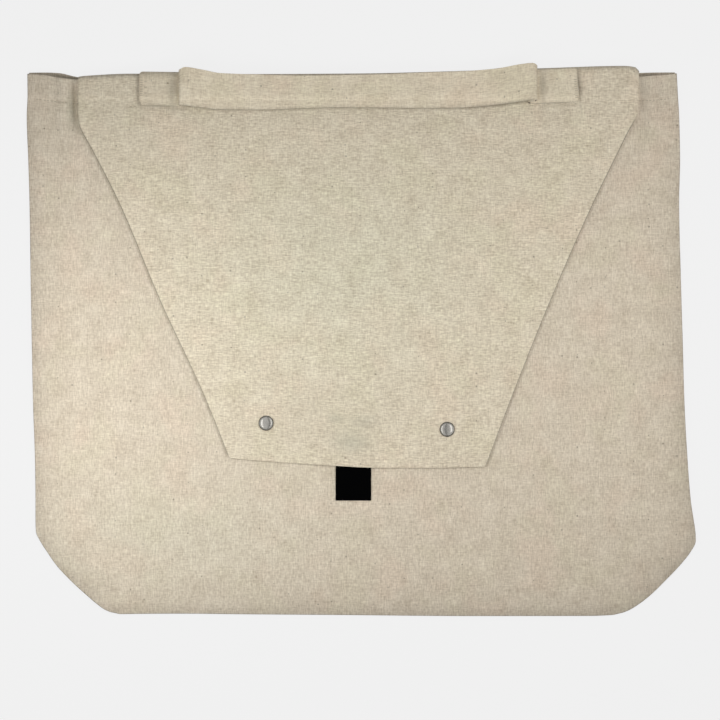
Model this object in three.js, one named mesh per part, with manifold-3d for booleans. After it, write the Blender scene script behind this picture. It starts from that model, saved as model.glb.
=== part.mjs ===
// Cotton packaging bag, empty, lying on its back with the flap snapped shut
// Millimetres: X runs across the bag, Y up to its mouth and Z up from the surface that it lies on
import * as THREE from 'three';
import Module from 'manifold-3d';

const wasm = await Module();
wasm.setup();

// Cloth thicknesses and clearances, in millimetres
const CANVAS = 1.2;
const HEM = 1.8;
const FLAP_CLOTH = 1.5;
const STRAP_CLOTH = 2;
const TAB_CLOTH = 1;
const TOUCH = 0.3;
const LYING = 0.5;
const STRAP_LYING = 0.7;

// The mouth line, and how far the mouth hem is turned in
const MOUTH_Y = 223;
const HEM_DEPTH = 24;
const HEM_RAMP = 4;

// The bag's sides at distances down from the mouth line, out of true as the empty bag lies
const SIDES = [
  { down: 0, left: -278.7, right: 263.2 },
  { down: 19, left: -278.5, right: 264.2 },
  { down: 36, left: -279.2, right: 265.2 },
  { down: 74, left: -277.9, right: 266.0 },
  { down: 107, left: -276.9, right: 265.2 },
  { down: 174, left: -275.9, right: 266.7 },
  { down: 224, left: -275.0, right: 268.2 },
  { down: 274, left: -274.0, right: 269.6 },
  { down: 324, left: -272.3, right: 272.3 },
  { down: 357, left: -271.9, right: 274.9 },
  { down: 374, left: -271.9, right: 277.4 },
  { down: 383, left: -271.6, right: 278.8 },
  { down: 391, left: -268.0, right: 279.2 },
  { down: 399, left: -262.9, right: 275.4 },
  { down: 411, left: -254.7, right: 266.0 },
  { down: 424, left: -242.4, right: 253.5 },
  { down: 437, left: -228.0, right: 240.6 },
  { down: 444, left: -220.0, right: 232.0 },
  { down: 450.6, left: -209.7, right: 220.9 },
  { down: 453, left: -199.0, right: 211.0 },
];

// The front panel's mouth edge, the back panel's mouth edge and the bottom edge
const FRONT_MOUTH = [
  { x: -278.7, y: 221.9 },
  { x: -263.2, y: 220.6 },
  { x: -250.7, y: 218.2 },
  { x: -239.0, y: 217.0 },
  { x: -150.0, y: 216.2 },
  { x: 0.0, y: 217.2 },
  { x: 150.0, y: 218.4 },
  { x: 233.0, y: 219.4 },
  { x: 248.0, y: 220.5 },
  { x: 263.2, y: 222.0 },
];
const BACK_MOUTH = [
  { x: -278.7, y: 222.7 },
  { x: -264.0, y: 222.9 },
  { x: -252.0, y: 222.4 },
  { x: -243.0, y: 220.4 },
  { x: -236.0, y: 218.9 },
  { x: 0.0, y: 219.6 },
  { x: 150.0, y: 221.0 },
  { x: 228.0, y: 222.4 },
  { x: 245.0, y: 222.9 },
  { x: 263.2, y: 223.0 },
];
const BOTTOM = [
  { x: -200.0, y: -229.1 },
  { x: -192.0, y: -229.5 },
  { x: -100.0, y: -229.2 },
  { x: -17.0, y: -229.8 },
  { x: 91.0, y: -230.7 },
  { x: 191.0, y: -230.6 },
  { x: 213.0, y: -229.7 },
];
const EDGE_FADE = 60;

// How high the front panel stands off the back one, at distances down from the mouth
const LOFT = [
  { down: 0, height: 5.4 },
  { down: 60, height: 7.6 },
  { down: 140, height: 10.0 },
  { down: 330, height: 10.4 },
  { down: 453, height: 9.6 },
];
const RIM_REACH = 14;
const RIM_ROUNDNESS = 0.9;

// Broad swells and hollows that the front panel and the flap share
const SWELLS = [
  { x: -206, y: -40, wide: 22, long: 62, height: 1.0 },
  { x: -222, y: -118, wide: 22, long: 40, height: 0.7 },
  { x: -178, y: 150, wide: 46, long: 40, height: -0.9 },
  { x: -40, y: 20, wide: 95, long: 75, height: 0.8 },
  { x: 120, y: 95, wide: 70, long: 45, height: -0.6 },
  { x: 232, y: 50, wide: 24, long: 80, height: 0.8 },
  { x: 175, y: -175, wide: 70, long: 40, height: -0.8 },
  { x: -60, y: -190, wide: 80, long: 26, height: 0.6 },
];

// Folds of the front panel alone: each mouth corner gapes in a ridge, with a trough beside the flap
const FRONT_FOLDS = [
  { x: -248.5, y: 224, wide: 5.5, long: 38, height: 2.4 },
  { x: -239.5, y: 200, wide: 3.4, long: 28, height: -2.0 },
  { x: 242.5, y: 222, wide: 6.5, long: 40, height: 3.4 },
  { x: 234.0, y: 196, wide: 3.4, long: 26, height: -1.3 },
];

// The flap's fold over the mouth, its sides and its lower edge
const FLAP_FOLD = [
  { x: -235.7, y: 219.2 },
  { x: -230.0, y: 219.9 },
  { x: -192.0, y: 221.7 },
  { x: -100.0, y: 222.5 },
  { x: 0.0, y: 222.9 },
  { x: 60.0, y: 224.0 },
  { x: 150.0, y: 226.9 },
  { x: 219.5, y: 228.4 },
  { x: 229.0, y: 227.4 },
  { x: 231.8, y: 225.0 },
];
const FLAP_SIDES = [
  { y: -107.0, left: -107.0, right: 105.0 },
  { y: -45.0, left: -131.9, right: 128.4 },
  { y: 32.0, left: -167.6, right: 159.8 },
  { y: 111.0, left: -200.8, right: 194.6 },
  { y: 160.0, left: -225.6, right: 216.8 },
  { y: 174.0, left: -233.4, right: 223.8 },
  { y: 180.0, left: -235.6, right: 227.3 },
  { y: 190.0, left: -235.8, right: 231.4 },
  { y: 219.0, left: -235.7, right: 231.8 },
];
const FLAP_LOWER = [
  { x: -110.0, y: -98.8 },
  { x: -70.0, y: -102.0 },
  { x: -22.0, y: -105.2 },
  { x: 8.0, y: -106.7 },
  { x: 49.5, y: -107.9 },
  { x: 105.0, y: -107.0 },
];
const FLAP_LOWER_Y = -104;
const FLAP_SLANT_FROM = 20;
const FLAP_ROOT = 18;
const FOLD_INSET = 6.5;
const FOLD_LIFT = 1.2;
const FOLD_LIFT_REACH = 45;

// The press snaps: where they sit, and their rings from the stud's foot up to the cap
const SNAPS = [
  { side: 'left', x: -79.3, y: -69.6 },
  { side: 'right', x: 71.5, y: -74.8 },
];
const CAP_R = 6.25;
const CAP_HIGH = 1.2;
const SOCKET_R = 5.4;
const SOCKET_HIGH = 1.6;
const SOCKET_BORE = { r: 2.5, deep: 1.2 };
const STUD_R = 4.8;
const STUD_HIGH = 0.8;
const STUD_BULB = { neck: 1.9, r: 2.1, high: 1.1 };
const FOOT_HIGH = 0.9;
const RIVET_R = 1.7;
const HOLE_R = 2.1;
const SNAP_PRESS = 1.2;
const SNAP_FLAT_R = 13.6;
const SNAP_FADE_R = 36;
const SNAP_ROUND = 24;
const DRILL_REACH = 40;
const RING_BEVEL = 0.4;
const CAP_RIM = 1.4;
const RIM_STEP = 0.2;

// The tab
const TAB = { left: -20.7, right: 8.2, top: -74, bottom: -134.2 };
const TAB_MARGIN = 3;
const TAB_LIFT_FADE = 16;

// The handle: outer ends of its patches, its Z-folds and the stretch where the strap comes down to the flap
const PATCH = {
  left: { end: -185.3, slant: 0.3, turn: -139.4, outerBottom: 194.6, innerBottom: 193.6, wide: 29.3 },
  right: { end: 182.4, slant: -2.6, turn: 141, outerBottom: 197.5, innerBottom: 195.8, wide: 28.4 },
};
const STRAP_TURN = { left: -149.8, right: 144.3 };
const STRAP_DOWN = { left: -112, right: 104 };
const PATCH_CORNER = 2.5;
const LAYER_PITCH = 2.8;
const STRAP_EDGES = [
  { x: -152.2, top: 223.8, bottom: 195.5 },
  { x: -147.2, top: 227.8, bottom: 194.8 },
  { x: -133.9, top: 226.1, bottom: 193.1 },
  { x: -117.2, top: 222.3, bottom: 191.3 },
  { x: -83.9, top: 221.7, bottom: 191.0 },
  { x: -50.5, top: 221.3, bottom: 192.1 },
  { x: -17.2, top: 221.6, bottom: 192.9 },
  { x: 16.1, top: 222.0, bottom: 192.7 },
  { x: 49.5, top: 223.0, bottom: 192.2 },
  { x: 82.8, top: 223.9, bottom: 192.4 },
  { x: 99.4, top: 224.8, bottom: 193.5 },
  { x: 116.1, top: 226.7, bottom: 195.2 },
  { x: 132.8, top: 229.8, bottom: 197.5 },
  { x: 142.8, top: 230.7, bottom: 199.2 },
  { x: 146.9, top: 228.7, bottom: 200.0 },
];

// Mesh steps: distances from a side, rows down the body and fractions of the flap's length
const SIDE_STEPS = [0, 2.5, 8, 17, 25, 30, 34, 38, 43, 58];
const MIDDLE_COLUMNS = 9;
const FRONT_ROWS = [0, 6, 13, 20, 24, 36, 54, 76, 104, 134, 164, 194, 222, 248, 270];
const SNAP_ROWS = [286.5, 295.2, 304, 322];
const LOWER_ROWS = [345, 360, 374, 383, 391, 399, 411, 424, 437, 444, 450.6, 453];
const BACK_SIDE_STEPS = [0, 14.7, 26.7, 35.7, 44];
const BACK_MIDDLE_COLUMNS = 8;
const FLAP_COLUMNS = 18;
const FLAP_ROWS = [206, 196, 184, 170, 152, 130, 106, 82, 58, 34, 12, -10, -30, -48];
const FLAP_SNAP_ROWS = [-63.6, -72.2, -80.8, -92, -104];
const FOLD_STEPS = 9;
const ROOT_STEPS = 3;
const SNAP_CELL = 8;
const COLUMN_CLEAR = 8.1;
const STRAP_ACROSS = [0, 0.18, 0.38, 0.58, 0.74, 0.84, 0.92, 1];
const TURN_STEPS = 6;
const PATCH_STEPS = 6;
const STRAP_STEPS = 22;
const TAB_STEPS = { across: 4, down: 8 };

const CANVAS_COLOUR = 0xcfc4b1;
const STRAP_COLOUR = 0xc9bda7;
const TAB_COLOUR = 0x0a0a0b;
const NICKEL_COLOUR = 0xa9a69f;

const { lerp, smoothstep, clamp } = THREE.MathUtils;

// Reading the tables: a smooth line through the rows that never overshoots them
function slope(table, key, column, i) {
  return (table[i + 1][column] - table[i][column]) / (table[i + 1][key] - table[i][key]);
}

function tangent(table, key, column, i) {
  if (i === 0) return slope(table, key, column, 0);
  if (i === table.length - 1) return slope(table, key, column, i - 1);
  const before = slope(table, key, column, i - 1);
  const after = slope(table, key, column, i);
  return before * after > 0 ? (2 * before * after) / (before + after) : 0;
}

function along(table, key, column, place) {
  const last = table.length - 1;
  if (place <= table[0][key]) return table[0][column];
  if (place >= table[last][key]) return table[last][column];
  const i = table.findIndex((row) => row[key] > place) - 1;
  const span = table[i + 1][key] - table[i][key];
  const t = (place - table[i][key]) / span;
  const rise = table[i + 1][column] - table[i][column];
  const start = tangent(table, key, column, i) * span;
  const end = tangent(table, key, column, i + 1) * span;
  return table[i][column] + t * (start + t * (3 * rise - 2 * start - end + t * (start + end - 2 * rise)));
}

// The body's outline, mapped by a fraction across and a distance down
function bodyPoint(across, down, mouth) {
  const x = lerp(along(SIDES, 'down', 'left', down), along(SIDES, 'down', 'right', down), across);
  const nearMouth = clamp(1 - down / EDGE_FADE, 0, 1);
  const length = SIDES.at(-1).down;
  const nearBottom = clamp(1 - (length - down) / EDGE_FADE, 0, 1);
  const mouthShift = along(mouth, 'x', 'y', x) - MOUTH_Y;
  const bottomShift = along(BOTTOM, 'x', 'y', x) + length - MOUTH_Y;
  return { x, y: MOUTH_Y - down + nearMouth * mouthShift + nearBottom * bottomShift };
}

function distanceToStretch(x, y, a, b) {
  const dx = b.x - a.x;
  const dy = b.y - a.y;
  const t = clamp(((x - a.x) * dx + (y - a.y) * dy) / (dx * dx + dy * dy), 0, 1);
  return Math.hypot(x - a.x - t * dx, y - a.y - t * dy);
}

const CLOSED_EDGE = [
  ...SIDES.map((row) => ({ x: row.left, y: MOUTH_Y - row.down })),
  ...BOTTOM,
  ...[...SIDES].reverse().map((row) => ({ x: row.right, y: MOUTH_Y - row.down })),
];

function rimDistance(x, y) {
  let nearest = Infinity;
  for (let i = 1; i < CLOSED_EDGE.length; i += 1) {
    nearest = Math.min(nearest, distanceToStretch(x, y, CLOSED_EDGE[i - 1], CLOSED_EDGE[i]));
  }
  return nearest;
}

// Heights of the two panels
function bumps(table, x, y) {
  let sum = 0;
  for (const row of table) {
    sum += row.height * Math.exp(-(((x - row.x) / row.wide) ** 2) - ((y - row.y) / row.long) ** 2);
  }
  return sum;
}

function hemmed(down) {
  return lerp(HEM, CANVAS, smoothstep(down, HEM_DEPTH - HEM_RAMP, HEM_DEPTH));
}

function rimRise(x, y) {
  return 1 - Math.exp(-((rimDistance(x, y) / RIM_REACH) ** RIM_ROUNDNESS));
}

function cushionBottom(x, y) {
  const down = clamp(MOUTH_Y - y, 0, SIDES.at(-1).down);
  const rise = rimRise(x, y);
  return hemmed(down) + TOUCH + rise * (along(LOFT, 'down', 'height', down) + rise * bumps(SWELLS, x, y));
}

function cushionTop(x, y) {
  return cushionBottom(x, y) + hemmed(clamp(MOUTH_Y - y, 0, SIDES.at(-1).down));
}

// Around a snap each cloth is pulled to one level, flat under the rings
function nearSnap(x, y) {
  const near = SNAPS.map((snap) => ({ snap, r: Math.hypot(x - snap.x, y - snap.y) }));
  near.sort((a, b) => a.r - b.r);
  return { snap: near[0].snap, pull: 1 - smoothstep(near[0].r, SNAP_FLAT_R, SNAP_FADE_R) };
}

function frontLevelAtSnap(snap) {
  return cushionBottom(snap.x, snap.y) - SNAP_PRESS;
}

function flapLevelAtSnap(snap) {
  return frontLevelAtSnap(snap) + CANVAS + TOUCH + STUD_HIGH + TOUCH + SOCKET_HIGH + TOUCH;
}

function frontBottom(x, y) {
  const { snap, pull } = nearSnap(x, y);
  const free = cushionBottom(x, y) + rimRise(x, y) * bumps(FRONT_FOLDS, x, y);
  return lerp(free, frontLevelAtSnap(snap), pull);
}

function frontTop(x, y) {
  return frontBottom(x, y) + hemmed(clamp(MOUTH_Y - y, 0, SIDES.at(-1).down));
}

// Height of the flap's underside over the front panel, and its fold over the mouth
function tabLift(x, y) {
  const sideways = Math.max(TAB.left - TAB_MARGIN - x, x - TAB.right - TAB_MARGIN, 0);
  const above = Math.max(y - TAB.top - TAB_MARGIN, 0);
  return (TAB_CLOTH + TOUCH) * (1 - smoothstep(Math.hypot(sideways, above), 0, TAB_LIFT_FADE));
}

function flapBottom(x, y) {
  const { snap, pull } = nearSnap(x, y);
  const fromFold = Math.max(along(FLAP_FOLD, 'x', 'y', x) - y, 0);
  const lift = LYING + FOLD_LIFT * Math.exp(-((fromFold / FOLD_LIFT_REACH) ** 2)) + tabLift(x, y);
  return lerp(cushionTop(x, y) + lift, flapLevelAtSnap(snap), pull);
}

function flapFold(x) {
  const edge = along(FLAP_FOLD, 'x', 'y', x);
  const low = HEM + TOUCH;
  const high = flapBottom(x, edge - FOLD_INSET) + FLAP_CLOTH;
  const outer = (high - low) / 2;
  return { y: edge - outer, z: low + outer, outer };
}

// A closed sheet from matching grids of points on its two faces
function closedSheet(upper, lower) {
  const rows = upper.length;
  const columns = upper[0].length;
  const positions = [...upper.flat(), ...lower.flat()].flatMap((p) => [p.x, p.y, p.z]);
  const top = (i, j) => i * columns + j;
  const under = (i, j) => rows * columns + i * columns + j;
  const triangles = [];
  const quad = (a, b, c, d) => triangles.push(a, b, c, a, c, d);
  for (let i = 0; i < rows - 1; i += 1) {
    for (let j = 0; j < columns - 1; j += 1) {
      quad(top(i, j), top(i + 1, j), top(i + 1, j + 1), top(i, j + 1));
      quad(under(i, j), under(i, j + 1), under(i + 1, j + 1), under(i + 1, j));
    }
    quad(top(i, 0), under(i, 0), under(i + 1, 0), top(i + 1, 0));
    quad(top(i + 1, columns - 1), under(i + 1, columns - 1), under(i, columns - 1), top(i, columns - 1));
  }
  for (let j = 0; j < columns - 1; j += 1) {
    quad(top(0, j + 1), under(0, j + 1), under(0, j), top(0, j));
    quad(top(rows - 1, j), under(rows - 1, j), under(rows - 1, j + 1), top(rows - 1, j + 1));
  }
  const geometry = new THREE.BufferGeometry();
  geometry.setAttribute('position', new THREE.Float32BufferAttribute(positions, 3));
  geometry.setIndex(triangles);
  return geometry;
}

// Thickness added on both sides of a middle surface, square to it
function thickened(middle, thickness) {
  const at = (i, j) => middle[clamp(i, 0, middle.length - 1)][clamp(j, 0, middle[0].length - 1)];
  const face = (side) => middle.map((row, i) => row.map((point, j) => {
    const down = at(i + 1, j).clone().sub(at(i - 1, j));
    const across = at(i, j + 1).clone().sub(at(i, j - 1));
    const normal = down.cross(across).normalize();
    return point.clone().addScaledVector(normal, (side * thickness) / 2);
  }));
  return closedSheet(face(1), face(-1));
}

// Round holes cut through a cloth where the rivets pass
function pierced(geometry, holes) {
  let solid = new wasm.Manifold(new wasm.Mesh({
    numProp: 3,
    vertProperties: new Float32Array(geometry.attributes.position.array),
    triVerts: new Uint32Array(geometry.index.array),
  }));
  for (const hole of holes) solid = solid.subtract(drill(hole));
  const mesh = solid.getMesh();
  const cut = new THREE.BufferGeometry();
  cut.setAttribute('position', new THREE.Float32BufferAttribute(mesh.vertProperties, 3));
  cut.setIndex(Array.from(mesh.triVerts));
  return cut;
}

function drill({ x, y }) {
  const ring = evenly(0, 2 * Math.PI, SNAP_ROUND).slice(0, -1);
  const points = [0, DRILL_REACH].flatMap((z) => [
    ...ring.map((angle) => [x + HOLE_R * Math.cos(angle), y + HOLE_R * Math.sin(angle), z]),
    [x, y, z],
  ]);
  const upper = SNAP_ROUND + 1;
  const triangles = ring.flatMap((_, i) => {
    const next = (i + 1) % SNAP_ROUND;
    return [
      SNAP_ROUND, next, i,
      upper + SNAP_ROUND, upper + i, upper + next,
      i, next, upper + next,
      i, upper + next, upper + i,
    ];
  });
  return new wasm.Manifold(new wasm.Mesh({
    numProp: 3,
    vertProperties: new Float32Array(points.flat()),
    triVerts: new Uint32Array(triangles),
  }));
}

// Places from one number to another in even steps
function evenly(from, to, steps) {
  return Array.from({ length: steps + 1 }, (_, i) => lerp(from, to, i / steps));
}

// Columns across a panel: close together at the sides, even between them
function sidedColumns(sideSteps, middleColumns, wide) {
  const steps = sideSteps.map((step) => step / wide);
  const inner = steps.at(-1);
  const middle = evenly(inner, 1 - inner, middleColumns).slice(1, -1);
  return [...steps, ...middle, ...steps.map((step) => 1 - step).reverse()];
}

// Columns at given places, in the stead of the ones that lie too near them
function withColumnsAt(places, columns, left, wide) {
  const fixed = places.map((x) => (x - left) / wide);
  const clear = COLUMN_CLEAR / wide;
  const kept = columns.filter((column) => fixed.every((place) => Math.abs(column - place) > clear));
  return [...kept, ...fixed].sort((a, b) => a - b);
}

function besideSnaps() {
  return SNAPS.flatMap((snap) => [snap.x - SNAP_CELL, snap.x + SNAP_CELL]);
}

function frontPanel() {
  const snapRow = MOUTH_Y - (SNAPS[0].y + SNAPS[1].y) / 2;
  const left = along(SIDES, 'down', 'left', snapRow);
  const wide = along(SIDES, 'down', 'right', snapRow) - left;
  const columns = withColumnsAt(besideSnaps(), sidedColumns(SIDE_STEPS, MIDDLE_COLUMNS, wide), left, wide);
  const rows = [...FRONT_ROWS, ...SNAP_ROWS, ...LOWER_ROWS];
  const plan = rows.map((down) => columns.map((across) => bodyPoint(across, down, FRONT_MOUTH)));
  const face = (height) => plan.map((row) => row.map(({ x, y }) => new THREE.Vector3(x, y, height(x, y))));
  return pierced(closedSheet(face(frontTop), face(frontBottom)), SNAPS);
}

function backPanel() {
  const columns = sidedColumns(BACK_SIDE_STEPS, BACK_MIDDLE_COLUMNS, SIDES[0].right - SIDES[0].left);
  const rows = [0, HEM_DEPTH - HEM_RAMP, HEM_DEPTH, ...SIDES.slice(3).map((row) => row.down)];
  const face = (height) => rows.map((down) => columns.map((across) => {
    const { x, y } = bodyPoint(across, down, BACK_MOUTH);
    return new THREE.Vector3(x, y, height(down));
  }));
  return closedSheet(face(hemmed), face(() => 0));
}

// The flap, from its root inside the back's mouth hem, round the fold and down to its lower edge
function flapRowPoint(across, y) {
  const weight = 1 - smoothstep(y, FLAP_LOWER_Y, FLAP_SLANT_FROM);
  const shift = (x) => weight * (along(FLAP_LOWER, 'x', 'y', x) - FLAP_LOWER_Y);
  const left = along(FLAP_SIDES, 'y', 'left', y + shift(FLAP_LOWER[0].x));
  const right = along(FLAP_SIDES, 'y', 'right', y + shift(FLAP_LOWER.at(-1).x));
  const x = lerp(left, right, across);
  return { x, y: y + shift(x) };
}

function flapColumns() {
  const snapRow = (SNAPS[0].y + SNAPS[1].y) / 2;
  const left = along(FLAP_SIDES, 'y', 'left', snapRow);
  const wide = along(FLAP_SIDES, 'y', 'right', snapRow) - left;
  const closerAtSides = evenly(0, Math.PI, FLAP_COLUMNS).map((angle) => (1 - Math.cos(angle)) / 2);
  const besideTab = [TAB.left - TAB_MARGIN, TAB.right + TAB_MARGIN];
  return withColumnsAt([...besideSnaps(), ...besideTab], closerAtSides, left, wide);
}

function flap() {
  const columns = flapColumns();
  const half = FLAP_CLOTH / 2;
  const atFold = (across, place) => {
    const { x } = flapRowPoint(across, MOUTH_Y);
    return place(x, flapFold(x));
  };
  const root = evenly(FLAP_ROOT, 0, ROOT_STEPS).slice(0, -1).map((inset) => (across) => (
    atFold(across, (x, fold) => new THREE.Vector3(x, fold.y - inset, fold.z - fold.outer + half))
  ));
  const bend = evenly(-Math.PI / 2, Math.PI / 2, FOLD_STEPS).map((angle) => (across) => (
    atFold(across, (x, fold) => {
      const r = fold.outer - half;
      return new THREE.Vector3(x, fold.y + r * Math.cos(angle), fold.z + r * Math.sin(angle));
    })
  ));
  const fall = [...FLAP_ROWS, ...FLAP_SNAP_ROWS].map((y) => (across) => {
    const place = flapRowPoint(across, y);
    return new THREE.Vector3(place.x, place.y, flapBottom(place.x, place.y) + half);
  });
  const middle = [...root, ...bend, ...fall].map((point) => columns.map(point));
  return pierced(thickened(middle, FLAP_CLOTH), SNAPS);
}

// The handle's middle surface: a path along the strap, and an edge to edge line at each place on it
function strapLift(x) {
  const leftSide = 1 - smoothstep(x, STRAP_TURN.left, STRAP_DOWN.left);
  const rightSide = smoothstep(x, STRAP_DOWN.right, STRAP_TURN.right);
  return 2 * LAYER_PITCH * Math.max(leftSide, rightSide);
}

function turnPath(x, layer, step, bulge, from, to) {
  const r = LAYER_PITCH / 2;
  return evenly(0, Math.PI, TURN_STEPS).map((angle) => ({
    x: x + bulge * r * Math.sin(angle),
    lift: layer * LAYER_PITCH + step * r * (1 - Math.cos(angle)),
    patch: lerp(from, to, angle / Math.PI),
  }));
}

function patchPath(side) {
  const { end, turn } = PATCH[side];
  const cornered = end + Math.sign(turn - end) * PATCH_CORNER;
  const places = evenly(cornered, turn, PATCH_STEPS).slice(0, -1);
  return [end, ...places].map((x) => ({ x, lift: 0, patch: 1, corner: x === end ? PATCH_CORNER : 0 }));
}

function strapPath() {
  const places = evenly(STRAP_TURN.left, STRAP_TURN.right, STRAP_STEPS).slice(1, -1);
  const run = places.map((x) => ({ x, lift: strapLift(x), patch: 0 }));
  return [
    ...patchPath('left'),
    ...turnPath(PATCH.left.turn, 0, 1, 1, 1, 0.5),
    ...turnPath(STRAP_TURN.left, 1, 1, -1, 0.5, 0),
    ...run,
    ...turnPath(STRAP_TURN.right, 2, -1, 1, 0, 0.5),
    ...turnPath(PATCH.right.turn, 1, -1, -1, 0.5, 1),
    ...patchPath('right').reverse(),
  ];
}

function flapSurface(x, y, lift) {
  const fold = flapFold(x);
  const over = y - fold.y;
  const clear = FLAP_CLOTH + STRAP_LYING + STRAP_CLOTH / 2;
  if (over <= 0) return new THREE.Vector3(x, y, flapBottom(x, y) + clear + lift);
  const r = fold.outer + STRAP_LYING + STRAP_CLOTH / 2 + lift;
  const angle = over / r;
  return new THREE.Vector3(x, fold.y + r * Math.sin(angle), fold.z + r * Math.cos(angle));
}

function strapPoint({ x, lift, patch, corner = 0 }, across) {
  const sewnTo = PATCH[x < 0 ? 'left' : 'right'];
  const outward = (x - sewnTo.turn) / (sewnTo.end - sewnTo.turn);
  const rounding = corner * (1 - Math.min(across / STRAP_ACROSS[1], 1));
  const patchY = lerp(sewnTo.innerBottom, sewnTo.outerBottom, outward) + rounding + sewnTo.wide * across;
  const sewn = flapSurface(x + sewnTo.slant * across * clamp(outward, 0, 1), patchY, lift);
  const runY = lerp(along(STRAP_EDGES, 'x', 'bottom', x), along(STRAP_EDGES, 'x', 'top', x), across);
  const lying = flapSurface(x, Math.min(runY, flapFold(x).y), lift);
  lying.y = runY;
  return lying.lerp(sewn, patch);
}

function handle() {
  const path = strapPath();
  const middle = STRAP_ACROSS.map((across) => path.map((place) => strapPoint(place, across))).reverse();
  return thickened(middle, STRAP_CLOTH);
}

function tab() {
  const places = evenly(TAB.left, TAB.right, TAB_STEPS.across);
  const rows = evenly(TAB.top, TAB.bottom, TAB_STEPS.down);
  const face = (rise) => rows.map((y) => places.map((x) => (
    new THREE.Vector3(x, y, frontTop(x, y) + TOUCH + rise)
  )));
  return closedSheet(face(TAB_CLOTH), face(0));
}

// Snap halves, turned about their own axes from their lowest face up
function turned(profile) {
  const points = profile.map(([r, z]) => new THREE.Vector2(r, z));
  return new THREE.LatheGeometry(points, SNAP_ROUND).rotateX(Math.PI / 2);
}

function snapCap() {
  const neck = SOCKET_HIGH + 2 * TOUCH + FLAP_CLOTH;
  return turned([
    [0, SOCKET_BORE.deep],
    [SOCKET_BORE.r, SOCKET_BORE.deep],
    [SOCKET_BORE.r, 0],
    [SOCKET_R - RING_BEVEL, 0],
    [SOCKET_R, RING_BEVEL],
    [SOCKET_R, SOCKET_HIGH],
    [RIVET_R, SOCKET_HIGH],
    [RIVET_R, neck],
    [CAP_R - RING_BEVEL, neck],
    [CAP_R, neck + RING_BEVEL],
    [CAP_R, neck + CAP_HIGH - 2 * RIM_STEP],
    [CAP_R - RING_BEVEL, neck + CAP_HIGH - RIM_STEP],
    [CAP_R - CAP_RIM, neck + CAP_HIGH - RIM_STEP],
    [0, neck + CAP_HIGH],
  ]);
}

function snapStud() {
  const base = FOOT_HIGH + 2 * TOUCH + CANVAS;
  return turned([
    [0, 0],
    [STUD_R - RING_BEVEL, 0],
    [STUD_R, RING_BEVEL],
    [STUD_R, FOOT_HIGH],
    [RIVET_R, FOOT_HIGH],
    [RIVET_R, base],
    [STUD_R, base],
    [STUD_R, base + STUD_HIGH],
    [STUD_BULB.neck, base + STUD_HIGH],
    [STUD_BULB.r, base + STUD_HIGH + STUD_BULB.high - RING_BEVEL],
    [STUD_BULB.r - RING_BEVEL, base + STUD_HIGH + STUD_BULB.high],
    [0, base + STUD_HIGH + STUD_BULB.high],
  ]);
}

// Materials and the named pieces
function cloth(color) {
  return new THREE.MeshStandardMaterial({ color, roughness: 0.95, metalness: 0 });
}

function nickel() {
  return new THREE.MeshStandardMaterial({ color: NICKEL_COLOUR, roughness: 0.32, metalness: 1 });
}

function piece(name, geometry, material, place = [0, 0, 0]) {
  const mesh = new THREE.Mesh(geometry, material);
  mesh.name = name;
  mesh.position.set(...place);
  return mesh;
}

const bag = new THREE.Group();
bag.add(piece('back_panel', backPanel(), cloth(CANVAS_COLOUR)));
bag.add(piece('front_panel', frontPanel(), cloth(CANVAS_COLOUR)));
bag.add(piece('flap', flap(), cloth(CANVAS_COLOUR)));
bag.add(piece('handle', handle(), cloth(STRAP_COLOUR)));
bag.add(piece('tab', tab(), cloth(TAB_COLOUR)));
for (const snap of SNAPS) {
  const foot = frontLevelAtSnap(snap) - TOUCH - FOOT_HIGH;
  const socket = flapLevelAtSnap(snap) - TOUCH - SOCKET_HIGH;
  bag.add(piece(`snap_stud_${snap.side}`, snapStud(), nickel(), [snap.x, snap.y, foot]));
  bag.add(piece(`snap_cap_${snap.side}`, snapCap(), nickel(), [snap.x, snap.y, socket]));
}

export default bag;
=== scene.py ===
import math

import bpy
import numpy as np
from bpy.props import FloatProperty, FloatVectorProperty, IntProperty, PointerProperty
from bpy.types import Operator, Panel, PropertyGroup
from mathutils import Matrix, Vector


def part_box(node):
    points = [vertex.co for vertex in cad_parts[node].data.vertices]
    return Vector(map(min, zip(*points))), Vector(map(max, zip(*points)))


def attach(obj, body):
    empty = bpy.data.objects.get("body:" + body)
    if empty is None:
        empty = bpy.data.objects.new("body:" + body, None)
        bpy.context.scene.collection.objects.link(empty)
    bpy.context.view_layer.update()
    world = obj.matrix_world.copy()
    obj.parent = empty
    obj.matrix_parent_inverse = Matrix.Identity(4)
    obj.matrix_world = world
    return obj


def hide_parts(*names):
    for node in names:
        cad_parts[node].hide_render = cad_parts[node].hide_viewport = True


bl_info = {
    "name": "Cotton packaging bag",
    "version": (1, 0, 0),
    "blender": (4, 5, 0),
    "location": "View3D > Sidebar > Cotton bag",
    "description": "Models an empty cotton packaging bag that lies with its flap snapped shut",
    "category": "Add Mesh",
}

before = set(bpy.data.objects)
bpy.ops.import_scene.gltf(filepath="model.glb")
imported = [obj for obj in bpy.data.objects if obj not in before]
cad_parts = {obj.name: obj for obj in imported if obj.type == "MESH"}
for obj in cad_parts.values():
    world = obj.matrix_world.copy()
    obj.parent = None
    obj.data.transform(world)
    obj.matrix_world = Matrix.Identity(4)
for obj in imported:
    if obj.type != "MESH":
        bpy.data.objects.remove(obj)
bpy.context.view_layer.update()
BODY = "root"
MM = 0.001


def table(columns, *rows):
    """Rows of millimetres, and of degrees in a column named turn, as named columns of metres and radians."""
    names = columns.split()
    units = [math.radians(1) if name == "turn" else MM for name in names]
    return dict(zip(names, (np.array(rows, float) * units).T))


def outline(*places):
    """Places along one edge of the bag."""
    return table("x y", *places)


def hills(*rows):
    """Ridges and troughs: place, turn, how far each reaches along and across its line, and height."""
    return table("x y turn long wide high", *rows)


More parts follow.
